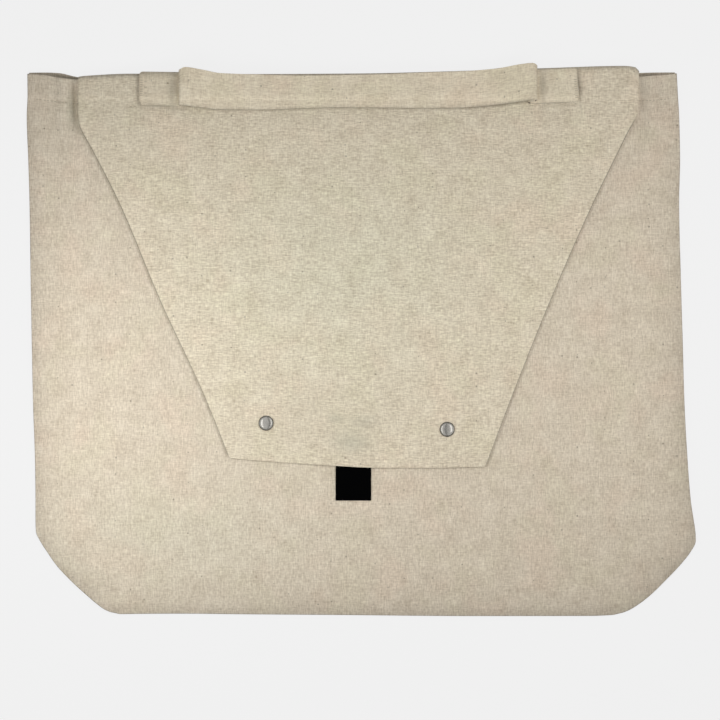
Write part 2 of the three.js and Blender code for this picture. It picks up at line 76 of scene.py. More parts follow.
# The panels: sides at distances down from the mouth line, mouth edges and bottom edge
MOUTH_Y = 223 * MM
SIDES = table(
    "down left right",
    (0, -278.7, 263.2), (19, -278.5, 264.2), (36, -279.2, 265.2), (74, -277.9, 266),
    (107, -276.9, 265.2), (174, -275.9, 266.7), (224, -275, 268.2), (274, -274, 269.6),
    (324, -272.3, 272.3), (357, -271.9, 274.9), (374, -271.9, 277.4), (383, -271.6, 278.8),
    (391, -268, 279.2), (399, -262.9, 275.4), (411, -254.7, 266), (424, -242.7, 253.5),
    (437, -229.2, 240.6), (444, -221.6, 232), (450.6, -212.2, 220.9), (453, -202.5, 211),
)
LENGTH = SIDES["down"][-1]
FRONT_MOUTH = outline(
    (-278.7, 221.9), (-263.2, 220.6), (-250.7, 218.2), (-239, 217), (-150, 216.2), (0, 217.2),
    (150, 218.4), (233, 219.4), (248, 220.5), (263.2, 222),
)
BACK_MOUTH = outline(
    (-278.7, 222.7), (-264, 222.9), (-252, 222.4), (-243, 220.4), (-236, 218.9), (0, 219.6), (150, 221),
    (228, 222.4), (245, 222.9), (263.2, 223),
)
BOTTOM = outline(
    (-200, -229.1), (-188, -228.9), (-150, -228.7), (-100, -229.2), (-17, -229.8), (91, -230.7),
    (191, -230.6), (213, -229.7),
)
EDGE_FADE = 60 * MM

# The panels' grids, whose points crowd to the edges: rows of the mouth's hem and fold, and the seam's roll
PANEL_EASE = 0.35
MOUTH_ROWS = 9
FOLD_TURNS = 7
SEAM_ROLL = ((0.38, 0.08), (0.71, 0.29), (0.92, 0.62), (1.0, 0.9), (0.86, 1.0))
SEAM_REACH = 0.75 * MM
SEAM_INSET = 1.1 * MM
SEAM_LIFT = {"front": 0.25 * MM, "back": 0.1 * MM}
HEM_INSET = 2.4 * MM
HEM_GAP = 0.1 * MM

# The solids' thicknesses and clearances, which place each cloth's outer face
CANVAS_SOLID = 1.2 * MM
HEM_SOLID = 1.8 * MM
FLAP_SOLID = 1.5 * MM
TOUCH = 0.3 * MM
LYING = 0.5 * MM
HEM_DEPTH = 24 * MM
HEM_RAMP = 4 * MM

# How high the front stands off the back, and the swells that the front and the flap share
LOFT = table("down height", (0, 5.4), (60, 7.6), (140, 10), (330, 10.4), (453, 9.6))
RIM_REACH = 14 * MM
RIM_ROUNDNESS = 0.9
SWELLS = hills(
    (-206, -40, 90, 62, 22, 1), (-222, -118, 90, 40, 22, 0.7), (-178, 150, 0, 46, 40, -0.9),
    (-40, 20, 0, 95, 75, 0.8), (120, 95, 0, 70, 45, -0.6), (232, 50, 90, 80, 24, 0.8),
    (175, -175, 0, 70, 40, -0.8), (-60, -190, 0, 80, 26, 0.6),
)

# Folds and soft creases of each cloth
FRONT_FOLDS = hills(
    (-248.5, 224, 90, 38, 5.5, 2.4), (-239.5, 200, 90, 28, 3.4, -2), (242.5, 222, 90, 40, 6.5, 3.4),
    (234, 196, 90, 26, 3.4, -1.3),
)
FRONT_CREASES = hills(
    (-262, 205, 82, 14, 3, 0.35), (-256, 168, 96, 26, 5, -0.35), (-243, 92, 84, 44, 7, 0.4),
    (-226, 40, 98, 40, 7, -0.35), (-215, -60, 88, 60, 9, 0.45), (-240, -96, 80, 40, 7, -0.35),
    (-186, -150, 60, 34, 8, 0.35), (-212, -188, 40, 26, 5, -0.4), (-120, -196, 8, 60, 8, 0.35),
    (-30, -170, -6, 60, 9, -0.3), (66, -188, 4, 50, 8, 0.35), (150, -200, -10, 44, 6, -0.35),
    (214, -176, -48, 34, 6, 0.4), (240, -120, 78, 40, 7, -0.4), (226, -40, 96, 60, 9, 0.4),
    (252, 60, 88, 50, 6, -0.35), (236, 130, 82, 40, 7, 0.4), (252, 186, 96, 20, 4, -0.35),
    (-238.4, 196, 91, 24, 3.5, -3.1), (-248.5, 199, 92, 24, 4, 1), (239.5, 190, 88, 26, 3.4, -0.6),
    (-150, -84, 60, 40, 9, -0.3), (150, -96, -62, 44, 9, -0.3),
)
FLAP_CREASES = hills(
    (-205, 165, 62, 30, 6, 0.3), (-168, 128, 58, 46, 9, -0.35), (-120, 60, 64, 60, 12, 0.35),
    (-96, -30, 66, 40, 8, -0.3), (-20, 120, 4, 90, 14, 0.35), (40, 50, -8, 80, 14, -0.3),
    (-10, -20, 6, 70, 12, 0.3), (104, 20, -62, 54, 10, 0.3), (158, 110, -58, 46, 8, -0.3),
    (196, 172, -70, 26, 6, 0.3), (-40, -88, 3, 28, 4, 0.3), (34, -93, -2, 26, 4, -0.25),
    (-186.4, 208, 90, 13, 0.9, -0.6), (-162, 193, -1.2, 22, 0.9, -0.6), (182.6, 210, 95, 13, 0.9, -0.6),
    (161, 195.5, 2.3, 20, 0.9, -0.6), (-189, 202, 90, 9, 0.9, -0.45),
    (-190.2, 194.2, 0, 3.4, 0.8, -0.45), (155, 191.3, 0, 16, 0.8, -0.3), (171, 191.2, 0, 4, 0.8, -0.35),
    (152, 189.2, 1, 14, 0.8, -0.2),
)

# Ripples from the sewing: past the place named side they follow one another up the bag, else across it
PUCKER = {"high": 0.16 * MM, "pitch": 11 * MM, "drift": 47 * MM, "reach": 9 * MM, "sway": 2.2, "side": 0.19}

# The flap: its fold over the mouth, its sides and its lower edge
FLAP_FOLD = outline(
    (-235.7, 219.2), (-230, 219.9), (-192, 221.7), (-100, 221.4), (0, 221.9), (60, 223.3), (150, 226.2),
    (219.5, 228.2), (228, 227.2), (231.2, 224),
)
FLAP_SIDES = table(
    "y left right",
    (-107, -107, 103.2), (-45, -131.9, 126.7), (32, -167.6, 157.6), (111, -200.8, 192.3),
    (160, -225.6, 216.2), (174, -233.4, 223.1), (180, -235.6, 226.6), (190, -235.8, 230.7),
    (219, -235.7, 231.2),
)
FLAP_LOWER = outline(
    (-110, -98.8), (-70, -102), (-22, -105.2), (8, -106.7), (49.5, -107), (105, -106),
)
FLAP_LOWER_Y = -104 * MM
FLAP_SLANT_FROM = 20 * MM
FLAP_ROOT = 18 * MM
FLAP_CORNER = 1.2 * MM
FLAP_CORNER_RISE = 3 * FLAP_CORNER
FOLD_INSET = 6.5 * MM
FOLD_LIFT = 1.2 * MM
FOLD_LIFT_REACH = 45 * MM
FOLD_SETTLE = 14 * MM
FOLD_SETTLED_Y = 199 * MM

# Points of the flap's grid, with more of them where the patches' ends and lower edges press into it
FLAP_GRID = {"columns": 180, "rows": 125, "ease": 0.45, "root": 7, "bend": 15, "settle": 9}
PATCH_COLUMNS = np.arange(0.096, 0.112, 0.0016), np.arange(0.885, 0.901, 0.0016)
PATCH_ROWS = np.arange(187.6, 198.4, 0.75) * MM

# The press snaps, whose places come from the frame, and the dent that each one pulls into the cloths
SNAP_SIDES = ("left", "right")
SNAP_PRESS = 1.2 * MM
SNAP_FLAT_R = 13.6 * MM
SNAP_FADE_R = 36 * MM
SNAP_STACK = 2.5 * MM + 2 * TOUCH

# The tab, and how the flap rises over its hidden upper end
TAB_THICK = 1.0 * MM
TAB_MARGIN = 3 * MM
TAB_LIFT_FADE = 16 * MM
TAB_WIDER = 0.7 * MM
TAB_CLEAR = 0.1 * MM
TAB_GRID = {"columns": 34, "rows": 66}

# The handle: its sewn patches, its Z-folds and the strap between them
PATCHES = {
    "left": {"end": -185.3, "slant": 0.3, "turn": -139.4, "outer": 195.0, "inner": 194.1, "wide": 28.9},
    "right": {"end": 182.1, "slant": -2.6, "turn": 141.0, "outer": 198.0, "inner": 196.4, "wide": 27.9},
}
PATCH_ROUND = {
    "left": {"low": 2.2, "low_share": 0.34, "top": 2.4, "top_share": 0.12},
    "right": {"low": 3.4, "low_share": 0.22, "top": 0.6, "top_share": 0.06},
}
PATCH_ROUND_SHARE = 0.2
STRAP_GRID = {"columns": 22, "patch": 34, "turn": 11, "run": 170}
STRAP_TURN = {"left": -149.8 * MM, "right": 144.3 * MM}
STRAP_DOWN = {"left": -112 * MM, "right": 104 * MM}

# The strap's edges across the bag, and the shade under its lower edge, a share in thousandths
STRAP_EDGES = table(
    "x top bottom shade",
    (-152.2, 223.8, 195.5, 240), (-147.2, 226.8, 194.8, 240), (-133.9, 224.9, 193.1, 280),
    (-117.2, 221.9, 191.5, 280), (-83.9, 220.7, 191.3, 260), (-50.5, 219.9, 192.4, 260),
    (-17.2, 220.3, 193.2, 260), (16.1, 220.9, 193, 260), (49.5, 222.3, 192.6, 280),
    (82.8, 223.3, 192.9, 320), (99.4, 224.5, 194, 420), (116.1, 226.2, 195.7, 480),
    (132.8, 229.2, 198, 460), (142.8, 230.2, 199.6, 420), (146.9, 228.4, 200.3, 350),
)
STRAP_CREASES = hills(
    (-136, 210, 80, 12, 6, 0.5), (-118, 205, 96, 12, 5, -0.35), (-92, 208, 4, 26, 6, 0.3),
    (-40, 212, -3, 34, 5, -0.25), (16, 205, 2, 34, 6, 0.3), (62, 213, 3, 28, 5, -0.25),
    (108, 208, 84, 12, 5, -0.35), (130, 214, 98, 12, 6, 0.5),
)

# Where the black tab shows through the flap, and painted shade: heights are shares in thousandths
# The painted shade: shadows beside the flap's upper sides and the tab's left edge, and shade on the upper
# left and the patches
SHOW_THROUGH_AND_SHADE = hills(
    (-22, -66, 0, 7, 4, 260), (2, -68, 0, 11, 5, 240), (-10, -82, 0, 16, 10, 200),
    (-6, -88, 0, 14, 7, 200), (-214, 186, 0, 56, 44, 120), (-30, -64, 0, 76, 32, 90),
    (-170, 209, 0, 18, 12, 130), (164, 211, 0, 16, 12, 110), (-21.6, -120, 90, 13, 2.6, 240),
    (237, 196, 90, 24, 5, 230), (-242, 192, 90, 15, 4, 330),
)

# Where the undyed cotton is a little greener, as such shares
TINTS = hills(
    (-20, 60, 0, 110, 85, 420), (-150, -165, 0, 110, 45, 300),
)

# Painted shadow lines, as such shares, where the strap and its patches meet the cloth, and on the flap's
# sides
SHADOW_LINE_WIDE = 1.3 * MM
SIDE_WIDE = 0.5 * MM
SIDE_SHADE = 0.8
SIDE_FADE = 176 * MM, 190 * MM
PAINTED_SHADOW_LINES = hills(
    (-169.5, 194.6, -1.2, 15, 1.3, 380), (-185.6, 208, 90, 12, 1.4, 150),
    (-157.2, 209, 90, 15, 3.9, 350), (163, 197.2, 2.3, 13, 1.3, 280), (181.3, 212, 95, 12, 1.2, 560),
    (151.2, 212, 92, 14, 3.4, 330),
)


# Reading the tables
def along(rows, key, column, place):
    """A smooth line through a table's rows that never overshoots them."""
    xs, ys = rows[key], rows[column]
    spans = np.diff(xs)
    slopes = np.diff(ys) / spans
    tangents = np.concatenate([slopes[:1], np.zeros(len(xs) - 2), slopes[-1:]])
    before, after = slopes[:-1], slopes[1:]
    bends = before * after > 0
    tangents[1:-1][bends] = (2 * before * after)[bends] / (before + after)[bends]
    place = np.clip(place, xs[0], xs[-1])
    i = np.clip(np.searchsorted(xs, place, side="right") - 1, 0, len(spans) - 1)
    t = (place - xs[i]) / spans[i]
    rise = ys[i + 1] - ys[i]
    start, end = tangents[i] * spans[i], tangents[i + 1] * spans[i]
    return ys[i] + t * (start + t * (3 * rise - 2 * start - end + t * (start + end - 2 * rise)))


def smoothstep(value, low, high):
    t = np.clip((value - low) / (high - low), 0, 1)
    return t * t * (3 - 2 * t)


def lerp(a, b, t):
    return a + (b - a) * t


def mounds(rows, x, y):
    """Soft ridges and troughs, each a long smooth mound turned to its own line."""
    height = np.zeros(np.broadcast(x, y).shape)
    for place_x, place_y, turn, long, wide, high in zip(*rows.values()):
        c, s = math.cos(turn), math.sin(turn)
        u = (x - place_x) * c + (y - place_y) * s
        v = (y - place_y) * c - (x - place_x) * s
        height += high * np.exp(-((u / long) ** 2) - (v / wide) ** 2)
    return height


def body_place(across, down, mouth):
    """A place on the body's outline map, by its fraction across and its distance down."""
    x = lerp(along(SIDES, "down", "left", down), along(SIDES, "down", "right", down), across)
    near_mouth = np.clip(1 - down / EDGE_FADE, 0, 1)
    near_bottom = np.clip(1 - (LENGTH - down) / EDGE_FADE, 0, 1)
    mouth_shift = along(mouth, "x", "y", x) - MOUTH_Y
    bottom_shift = along(BOTTOM, "x", "y", x) + LENGTH - MOUTH_Y
    return x, MOUTH_Y - down + near_mouth * mouth_shift + near_bottom * bottom_shift


CLOSED_EDGE = np.concatenate([
    np.stack([SIDES["left"], MOUTH_Y - SIDES["down"]], 1),
    np.stack([BOTTOM["x"], BOTTOM["y"]], 1),
    np.stack([SIDES["right"], MOUTH_Y - SIDES["down"]], 1)[::-1],
])


def rim_distance(x, y):
    nearest = np.full(np.broadcast(x, y).shape, np.inf)
    for a, b in zip(CLOSED_EDGE[:-1], CLOSED_EDGE[1:]):
        step = b - a
        t = np.clip(((x - a[0]) * step[0] + (y - a[1]) * step[1]) / (step @ step), 0, 1)
        nearest = np.minimum(nearest, np.hypot(x - a[0] - t * step[0], y - a[1] - t * step[1]))
    return nearest


# Heights of the cloths
def hemmed(down):
    return lerp(HEM_SOLID, CANVAS_SOLID, smoothstep(down, HEM_DEPTH - HEM_RAMP, HEM_DEPTH))


def down_from_mouth(y):
    return np.clip(MOUTH_Y - y, 0, LENGTH)


def rim_rise(x, y):
    return 1 - np.exp(-((rim_distance(x, y) / RIM_REACH) ** RIM_ROUNDNESS))


def cushion_bottom(x, y):
    down, rise = down_from_mouth(y), rim_rise(x, y)
    loft = along(LOFT, "down", "height", down)
    return hemmed(down) + TOUCH + rise * (loft + rise * mounds(SWELLS, x, y))


def cushion_top(x, y):
    return cushion_bottom(x, y) + hemmed(down_from_mouth(y))


def snap_places():
    """The snaps' places across and along the bag, read from their caps in the frame."""
    boxes = [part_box(f"snap_cap_{side}") for side in SNAP_SIDES]
    return [((low.x + high.x) / 2, (low.y + high.y) / 2) for low, high in boxes]


SNAPS = snap_places()
TAB_LOW, TAB_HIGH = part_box("tab")


def pressed(x, y, free, level):
    """Cloth pulled to one level round each snap, flat under its rings."""
    for place in SNAPS:
        r = np.hypot(x - place[0], y - place[1])
        free = lerp(free, level(place), 1 - smoothstep(r, SNAP_FLAT_R, SNAP_FADE_R))
    return free


def front_level(place):
    return cushion_bottom(*place) - SNAP_PRESS


def flap_level(place):
    return front_level(place) + CANVAS_SOLID + TOUCH + SNAP_STACK


def pucker(x, y):
    """Small ripples that the sewing draws into the cloth beside the closed edges."""
    place = np.where(np.abs(x) > PUCKER["side"], y, x)
    sway = PUCKER["sway"] * np.sin(math.tau * place / PUCKER["drift"])
    wave = np.sin(math.tau * place / PUCKER["pitch"] + sway)
    away = rim_distance(x, y) / PUCKER["reach"]
    return PUCKER["high"] * wave * away * np.exp(1 - away) * (down_from_mouth(y) > HEM_DEPTH)


def front_top(x, y):
    rise = rim_rise(x, y)
    free = cushion_bottom(x, y) + rise * mounds(FRONT_FOLDS, x, y)
    level = pressed(x, y, free, front_level) + hemmed(down_from_mouth(y))
    return level + rise * mounds(FRONT_CREASES, x, y) + pucker(x, y)


def tab_lift(x, y):
    sideways = np.maximum(np.maximum(TAB_LOW.x - TAB_MARGIN - x, x - TAB_HIGH.x - TAB_MARGIN), 0)
    above = np.maximum(y - TAB_HIGH.y - TAB_MARGIN, 0)
    return (TAB_THICK + TOUCH) * (1 - smoothstep(np.hypot(sideways, above), 0, TAB_LIFT_FADE))


def flap_bottom(x, y):
    from_fold = np.maximum(along(FLAP_FOLD, "x", "y", x) - y, 0)
    lift = LYING + FOLD_LIFT * np.exp(-((from_fold / FOLD_LIFT_REACH) ** 2)) + tab_lift(x, y)
    return pressed(x, y, cushion_top(x, y) + lift, flap_level)


def flap_top(x, y):
    return flap_bottom(x, y) + FLAP_SOLID + mounds(FLAP_CREASES, x, y)


def flap_fold(x):
    """The flap's bend over the mouth at each place across: its axis and its outer radius."""
    edge = along(FLAP_FOLD, "x", "y", x)
    low = HEM_SOLID + TOUCH
    high = flap_bottom(x, edge - FOLD_INSET) + FLAP_SOLID
    outer = (high - low) / 2
    return edge - outer, low + outer, outer


# Making sheets of cloth from their middle surfaces
def points_from(x, y, z):
    return np.stack(np.broadcast_arrays(x, y, z), axis=-1)


def eased(count, ease):
    """Fractions from 0 to 1, closer together at both ends."""
    t = np.linspace(0, 1, count)
    return t - ease * np.sin(math.tau * t) / math.tau


def path_length(points):
    steps = np.linalg.norm(np.diff(points, axis=0), axis=-1)
    return np.concatenate([[0], np.cumsum(steps)])


def grid_faces(rows, columns):
    index = np.arange(rows * columns).reshape(rows, columns)
    corners = (index[:-1, :-1], index[1:, :-1], index[1:, 1:], index[:-1, 1:])
    return np.stack(corners, axis=-1).reshape(-1, 4)


def seam_border(rows, columns, first_row):
    """The grid's points along the left side, the bottom and the right side, in that order."""
    index = np.arange(rows * columns).reshape(rows, columns)
    return np.concatenate([index[first_row:, 0], index[-1, 1:-1], index[first_row:, -1][::-1]])


def rolled_edge(points, first_row, tip, reach):
    """Rings that carry a panel's closed sides round to the seam: their points, faces and border."""
    rows, columns = points.shape[:2]
    border = seam_border(rows, columns, first_row)
    base = points.reshape(-1, 3)[border]
    line = np.gradient(base[:, :2], axis=0)
    outward = np.stack([line[:, 1], -line[:, 0]], 1)
    outward /= np.linalg.norm(outward, axis=1)[:, None]
    rings, faces = [], []
    drop = tip - base[:, 2]
    inner = border
    for out, share in SEAM_ROLL:
        ring = base.copy()
        ring[:, :2] += outward * reach * out
        ring[:, 2] += drop * share
        start = rows * columns + len(rings) * len(border)
        outer = start + np.arange(len(border))
        faces.append(np.stack([inner[:-1], outer[:-1], outer[1:], inner[1:]], 1))
        rings.append(ring)
        inner = outer
    return np.concatenate(rings), np.concatenate(faces), np.tile(border, len(SEAM_ROLL))


# Shaping, joining and marking the pieces
EDGE_SEGMENTS = 3
EDGE_ANGLE = math.radians(55)
SMOOTH_ANGLES = {"cloth": math.radians(50), "metal": math.radians(32), "thread": math.radians(60)}


def deselect():
    if bpy.context.object and bpy.context.object.mode != "OBJECT":
        bpy.ops.object.mode_set(mode="OBJECT")
    bpy.ops.object.select_all(action="DESELECT")


def only(piece):
    deselect()
    piece.select_set(True)
    bpy.context.view_layer.objects.active = piece


def modify(piece, name, kind, **settings):
    """A modifier with its settings, applied at once."""
    modifier = piece.modifiers.new(name, kind)
    for setting, value in settings.items():
        setattr(modifier, setting, value)
    only(piece)
    bpy.ops.object.modifier_apply(modifier=name)


def smooth(piece, kind):
    only(piece)
    bpy.ops.object.shade_smooth_by_angle(angle=SMOOTH_ANGLES[kind])


def new_piece(name, vertices, faces, material):
    mesh = bpy.data.meshes.new(name)
    mesh.from_pydata(vertices.tolist(), [], faces)
    mesh.materials.append(material)
    piece = bpy.data.objects.new(name, mesh)
    bpy.context.scene.collection.objects.link(piece)
    return piece


def give_share(mesh, name, values):
    """An attribute that holds one number at each point."""
    mesh.attributes.new(name, "FLOAT", "POINT").data.foreach_set("value", values.astype(np.float32))


def finish_piece(piece, slot, *nodes):
    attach(piece, BODY)
    if nodes:
        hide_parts(*nodes)


def give_weave_map(mesh, u, v):
    """A UV map in metres of cloth, so that the weave follows the cloth round its folds."""
    corner = np.zeros(len(mesh.loops), int)
    mesh.loops.foreach_get("vertex_index", corner)
    weave = mesh.uv_layers.new(name="Weave")
    weave.data.foreach_set("uv", np.stack([u, v], 1)[corner].ravel())


def cloth_piece(name, points, thickness, material, roll=None, soft_edge=0.0, lengthwise=False):
    """A sheet of cloth from a grid of points on its middle surface, with its thickness and edges."""
    rows, columns = points.shape[:2]
    vertices = points.reshape(-1, 3)
    faces = grid_faces(rows, columns)
    u = vertices[:, 0]
    v = -np.repeat(path_length(points[:, columns // 2]), columns)
    if lengthwise:
        u = np.tile(path_length(points[rows // 2]), rows)
        v = -v
    if roll:
        ring_points, ring_faces, border = rolled_edge(points, *roll)
        vertices = np.concatenate([vertices, ring_points])
        faces = np.concatenate([faces, ring_faces])
        u = np.concatenate([u, ring_points[:, 0]])
        v = np.concatenate([v, v[border]])
    piece = new_piece(name, vertices, faces.tolist(), material)
    give_weave_map(piece.data, u, v)
    # Attributes for the tab's show-through with painted shade, and for the greener tint
    for share, rows in (("show_through_and_shade", SHOW_THROUGH_AND_SHADE), ("tint", TINTS)):
        give_share(piece.data, share, mounds(rows, vertices[:, 0], vertices[:, 1]))
    rim = 0
    if soft_edge:
        piece.data.materials.append(material)
        rim = 1
    modify(piece, "Cloth thickness", "SOLIDIFY", thickness=thickness, offset=0, use_even_offset=True,
           material_offset_rim=rim)
    if soft_edge:
        modify(piece, "Soft edge", "BEVEL", width=soft_edge, segments=EDGE_SEGMENTS, limit_method="ANGLE",
               angle_limit=EDGE_ANGLE)
        paint_edge_shade(piece.data)
    smooth(piece, "cloth")
    return piece


def painted_line_shade(x, y):
    """How dark the painted shadow lines are, from 0 to 1, under the strap's lower edge, on the flap's sides
    and at the listed lines.
    """
    away = (y - along(STRAP_EDGES, "x", "bottom", x)) / SHADOW_LINE_WIDE
    under_strap = (x > STRAP_TURN["left"]) & (x < STRAP_TURN["right"])
    strap = along(STRAP_EDGES, "x", "shade", x) * np.exp(-away**2) * under_strap
    inside = [(x - along(FLAP_SIDES, "y", side, y)) / SIDE_WIDE for side in ("left", "right")]
    sides = sum(np.exp(-(share**2)) for share in inside)
    sides *= SIDE_SHADE * (1 - smoothstep(y, *SIDE_FADE))
    return np.minimum(strap + sides + mounds(PAINTED_SHADOW_LINES, x, y), 1)


def paint_edge_shade(mesh):
    """The attribute named edge, painted shade: 1 on edges, which the second material slot marks, less on the
    shadow lines.
    """
    places = np.zeros(len(mesh.vertices) * 3, np.float32)
    mesh.vertices.foreach_get("co", places)
    edge_shade = painted_line_shade(places[::3], places[1::3])
    for face in mesh.polygons:
        if face.material_index == 1:
            edge_shade[list(face.vertices)] = 1
            face.material_index = 0
    mesh.materials.pop(index=1)
    give_share(mesh, "edge", edge_shade)


# Middle surfaces of the pieces
def panel_surface(mouth, columns, rows, thickness, outer_level, side):
    """A panel's middle surface: turned hem, fold at the mouth and the panel down to its bottom edge.

    outer_level gives the middle of the outer cloth, and side is 1 where the hem lies under it, -1 above it.
    """
    across = eased(columns, PANEL_EASE)
    radius = (thickness + HEM_GAP) / 2
    fold_y = radius + thickness / 2
    wide = SIDES["right"][0] - SIDES["left"][0]

    def row(down, inset, round_y, round_z):
        squeezed = inset / wide + across * (1 - 2 * inset / wide)
        x, y = body_place(squeezed, down, mouth)
        y = y + SEAM_INSET * smoothstep(down, LENGTH - EDGE_FADE / 2, LENGTH)
        return points_from(x, y + round_y, outer_level(x, y) + side * round_z)

    hem = [row(d, HEM_INSET, 0, -2 * radius) for d in np.linspace(HEM_DEPTH, fold_y, MOUTH_ROWS)]
    turns = np.linspace(-math.pi / 2, math.pi / 2, FOLD_TURNS)[1:-1]
    insets = np.linspace(HEM_INSET, SEAM_INSET, FOLD_TURNS)[1:-1]
    bend = [
        row(fold_y, inset, radius * math.cos(turn), radius * (math.sin(turn) - 1))
        for turn, inset in zip(turns, insets)
    ]
    outer = [row(d, SEAM_INSET, 0, 0) for d in fold_y + eased(rows, PANEL_EASE) * (LENGTH - fold_y)]
    return np.array(hem + bend + outer), len(hem) + len(bend)


def seam_tip(points, first_row, lift):
    border = seam_border(*points.shape[:2], first_row)
    return hemmed(down_from_mouth(points.reshape(-1, 3)[border][:, 1])) + lift


def flap_place(across, y):
    """A place on the flap, by its fraction across and its height before the lower edge's slant."""
    weight = 1 - smoothstep(y, FLAP_LOWER_Y, FLAP_SLANT_FROM)

    def shift(x):
        return weight * (along(FLAP_LOWER, "x", "y", x) - FLAP_LOWER_Y)

    left = along(FLAP_SIDES, "y", "left", y + shift(FLAP_LOWER["x"][0]))
    right = along(FLAP_SIDES, "y", "right", y + shift(FLAP_LOWER["x"][-1]))
    x = lerp(left, right, across)
    return x, y + shift(x)


def flap_surface(thickness):
    """The flap's middle surface: its root in the back's hem, its bend and its fall over the front."""
    across = np.union1d(eased(FLAP_GRID["columns"], FLAP_GRID["ease"]), np.append(*PATCH_COLUMNS))
    half = thickness / 2
    top_x, _ = flap_place(across, MOUTH_Y)
    fold_y, fold_z, outer = flap_fold(top_x)
    radius = outer - half
    insets = np.linspace(FLAP_ROOT, 0, FLAP_GRID["root"])[:-1]
    sheet = [points_from(top_x, fold_y - inset, fold_z - radius) for inset in insets]
    for turn in np.linspace(-math.pi / 2, math.pi / 2, FLAP_GRID["bend"]):
        sheet.append(points_from(top_x, fold_y + radius * math.cos(turn), fold_z + radius * math.sin(turn)))
    top = fold_z + radius
    for t in np.linspace(0, 1, FLAP_GRID["settle"])[1:]:
        y = lerp(fold_y, FOLD_SETTLED_Y, t)
        x, _ = flap_place(across, y)
        level = flap_top(x, y) - half
        sheet.append(points_from(x, y, lerp(top, level, smoothstep(fold_y - y, 0, FOLD_SETTLE))))
    fall = np.union1d(np.linspace(FLAP_LOWER_Y, FOLD_SETTLED_Y, FLAP_GRID["rows"]), PATCH_ROWS)[::-1]
    for place in fall[1:]:
        x, y = flap_place(across, place)
        sheet.append(points_from(x, y, flap_top(x, y) - half))
    return round_corners(np.array(sheet))


def round_corners(sheet):
    """The flap's two lower corners drawn in to a small radius."""
    last = sheet[-1]
    for corner in (last[0], last[-1]):
        beside = np.abs(sheet[..., 0] - corner[0])
        above = np.abs(sheet[..., 1] - corner[1])
        bite = np.clip(1 - beside / FLAP_CORNER, 0, 1) ** 2 * FLAP_CORNER
        sheet[..., 1] += bite * np.clip(1 - above / FLAP_CORNER_RISE, 0, 1)
    return sheet


def on_flap(x, y, lift, clear):
    """A place on the flap's outer face or round its bend, that far clear of it."""
    fold_y, fold_z, outer = flap_fold(x)
    flat = points_from(x, y, flap_bottom(x, y) + FLAP_SOLID + clear + lift)
    r = outer + clear + lift
    angle = (y - fold_y) / r
    bent = points_from(x, fold_y + r * np.sin(angle), fold_z + r * np.cos(angle))
    return np.where((y > fold_y)[..., None], bent, flat)


def strap_lift(x, pitch):
    left = 1 - smoothstep(x, STRAP_TURN["left"], STRAP_DOWN["left"])
    right = smoothstep(x, STRAP_DOWN["right"], STRAP_TURN["right"])
    return 2 * pitch * np.maximum(left, right)


def strap_path(pitch):
    """The handle's path from patch to patch: places across the bag, lift and the share of patch."""
    path = []

    def patch(side):
        ends = PATCHES[side]["end"] * MM, PATCHES[side]["turn"] * MM
        return [(x, 0.0, 1.0) for x in np.linspace(*ends, STRAP_GRID["patch"])]

    def turn(x, layer, step, bulge, start, end):
        r = pitch / 2
        for angle in np.linspace(0, math.pi, STRAP_GRID["turn"]):
            lift = layer * pitch + step * r * (1 - math.cos(angle))
            path.append((x + bulge * r * math.sin(angle), lift, lerp(start, end, angle / math.pi)))

    path += patch("left")[:-1]
    turn(PATCHES["left"]["turn"] * MM, layer=0, step=1, bulge=1, start=1, end=0.5)
    turn(STRAP_TURN["left"], layer=1, step=1, bulge=-1, start=0.5, end=0)
    run = np.linspace(STRAP_TURN["left"], STRAP_TURN["right"], STRAP_GRID["run"])[1:-1]
    path += [(x, float(strap_lift(x, pitch)), 0.0) for x in run]
    turn(STRAP_TURN["right"], layer=2, step=-1, bulge=1, start=0, end=0.5)
    turn(PATCHES["right"]["turn"] * MM, layer=1, step=-1, bulge=-1, start=0.5, end=1)
    path += patch("right")[:-1][::-1]
    return np.array(path).T


def patch_edge(side, across):
    """How far a patch's sewn end is drawn in at each place up it, which rounds its corners."""
    cut = PATCH_ROUND[side]
    low = cut["low"] * np.clip(1 - across / cut["low_share"], 0, 1) ** 2
    top = cut["top"] * np.clip(1 - (1 - across) / cut["top_share"], 0, 1) ** 2
    return (low + top) * MM


def handle_surface(thickness, clear, pitch):
    """The strap's middle surface, from one patch over the flap to the other."""
    x, lift, share = strap_path(pitch)
    across = np.linspace(0, 1, STRAP_GRID["columns"])[:, None]
    is_left = x < 0

    def of(name):
        return np.where(is_left, PATCHES["left"][name], PATCHES["right"][name]) * MM

    outward = (x - of("turn")) / (of("end") - of("turn"))
    near_end = smoothstep(outward, 1 - PATCH_ROUND_SHARE, 1)
    drawn_in = np.where(is_left, patch_edge("left", across), -patch_edge("right", across))
    patch_x = x + of("slant") * across * np.clip(outward, 0, 1) + drawn_in * near_end
    patch_y = lerp(of("inner"), of("outer"), outward) + of("wide") * across
    centre = clear + thickness / 2
    sewn = on_flap(patch_x, patch_y, lift, centre)
    run_y = lerp(along(STRAP_EDGES, "x", "bottom", x), along(STRAP_EDGES, "x", "top", x), across)
    wide_x = np.broadcast_to(x, run_y.shape)
    fold_y, _, _ = flap_fold(wide_x)
    lying = on_flap(wide_x, np.minimum(run_y, fold_y), lift, centre)
    lying[..., 1] = run_y
    lying[..., 2] += mounds(STRAP_CREASES, wide_x, run_y)
    return lerp(lying, sewn, share[:, None])[::-1]


# Node trees, made by short calls that add a node and give back its output
def operation(name, swapped=False):
    def apply(self, other):
        pair = (other, self) if swapped else (self, other)
        return self.nodes.math(name, *pair)

    return apply


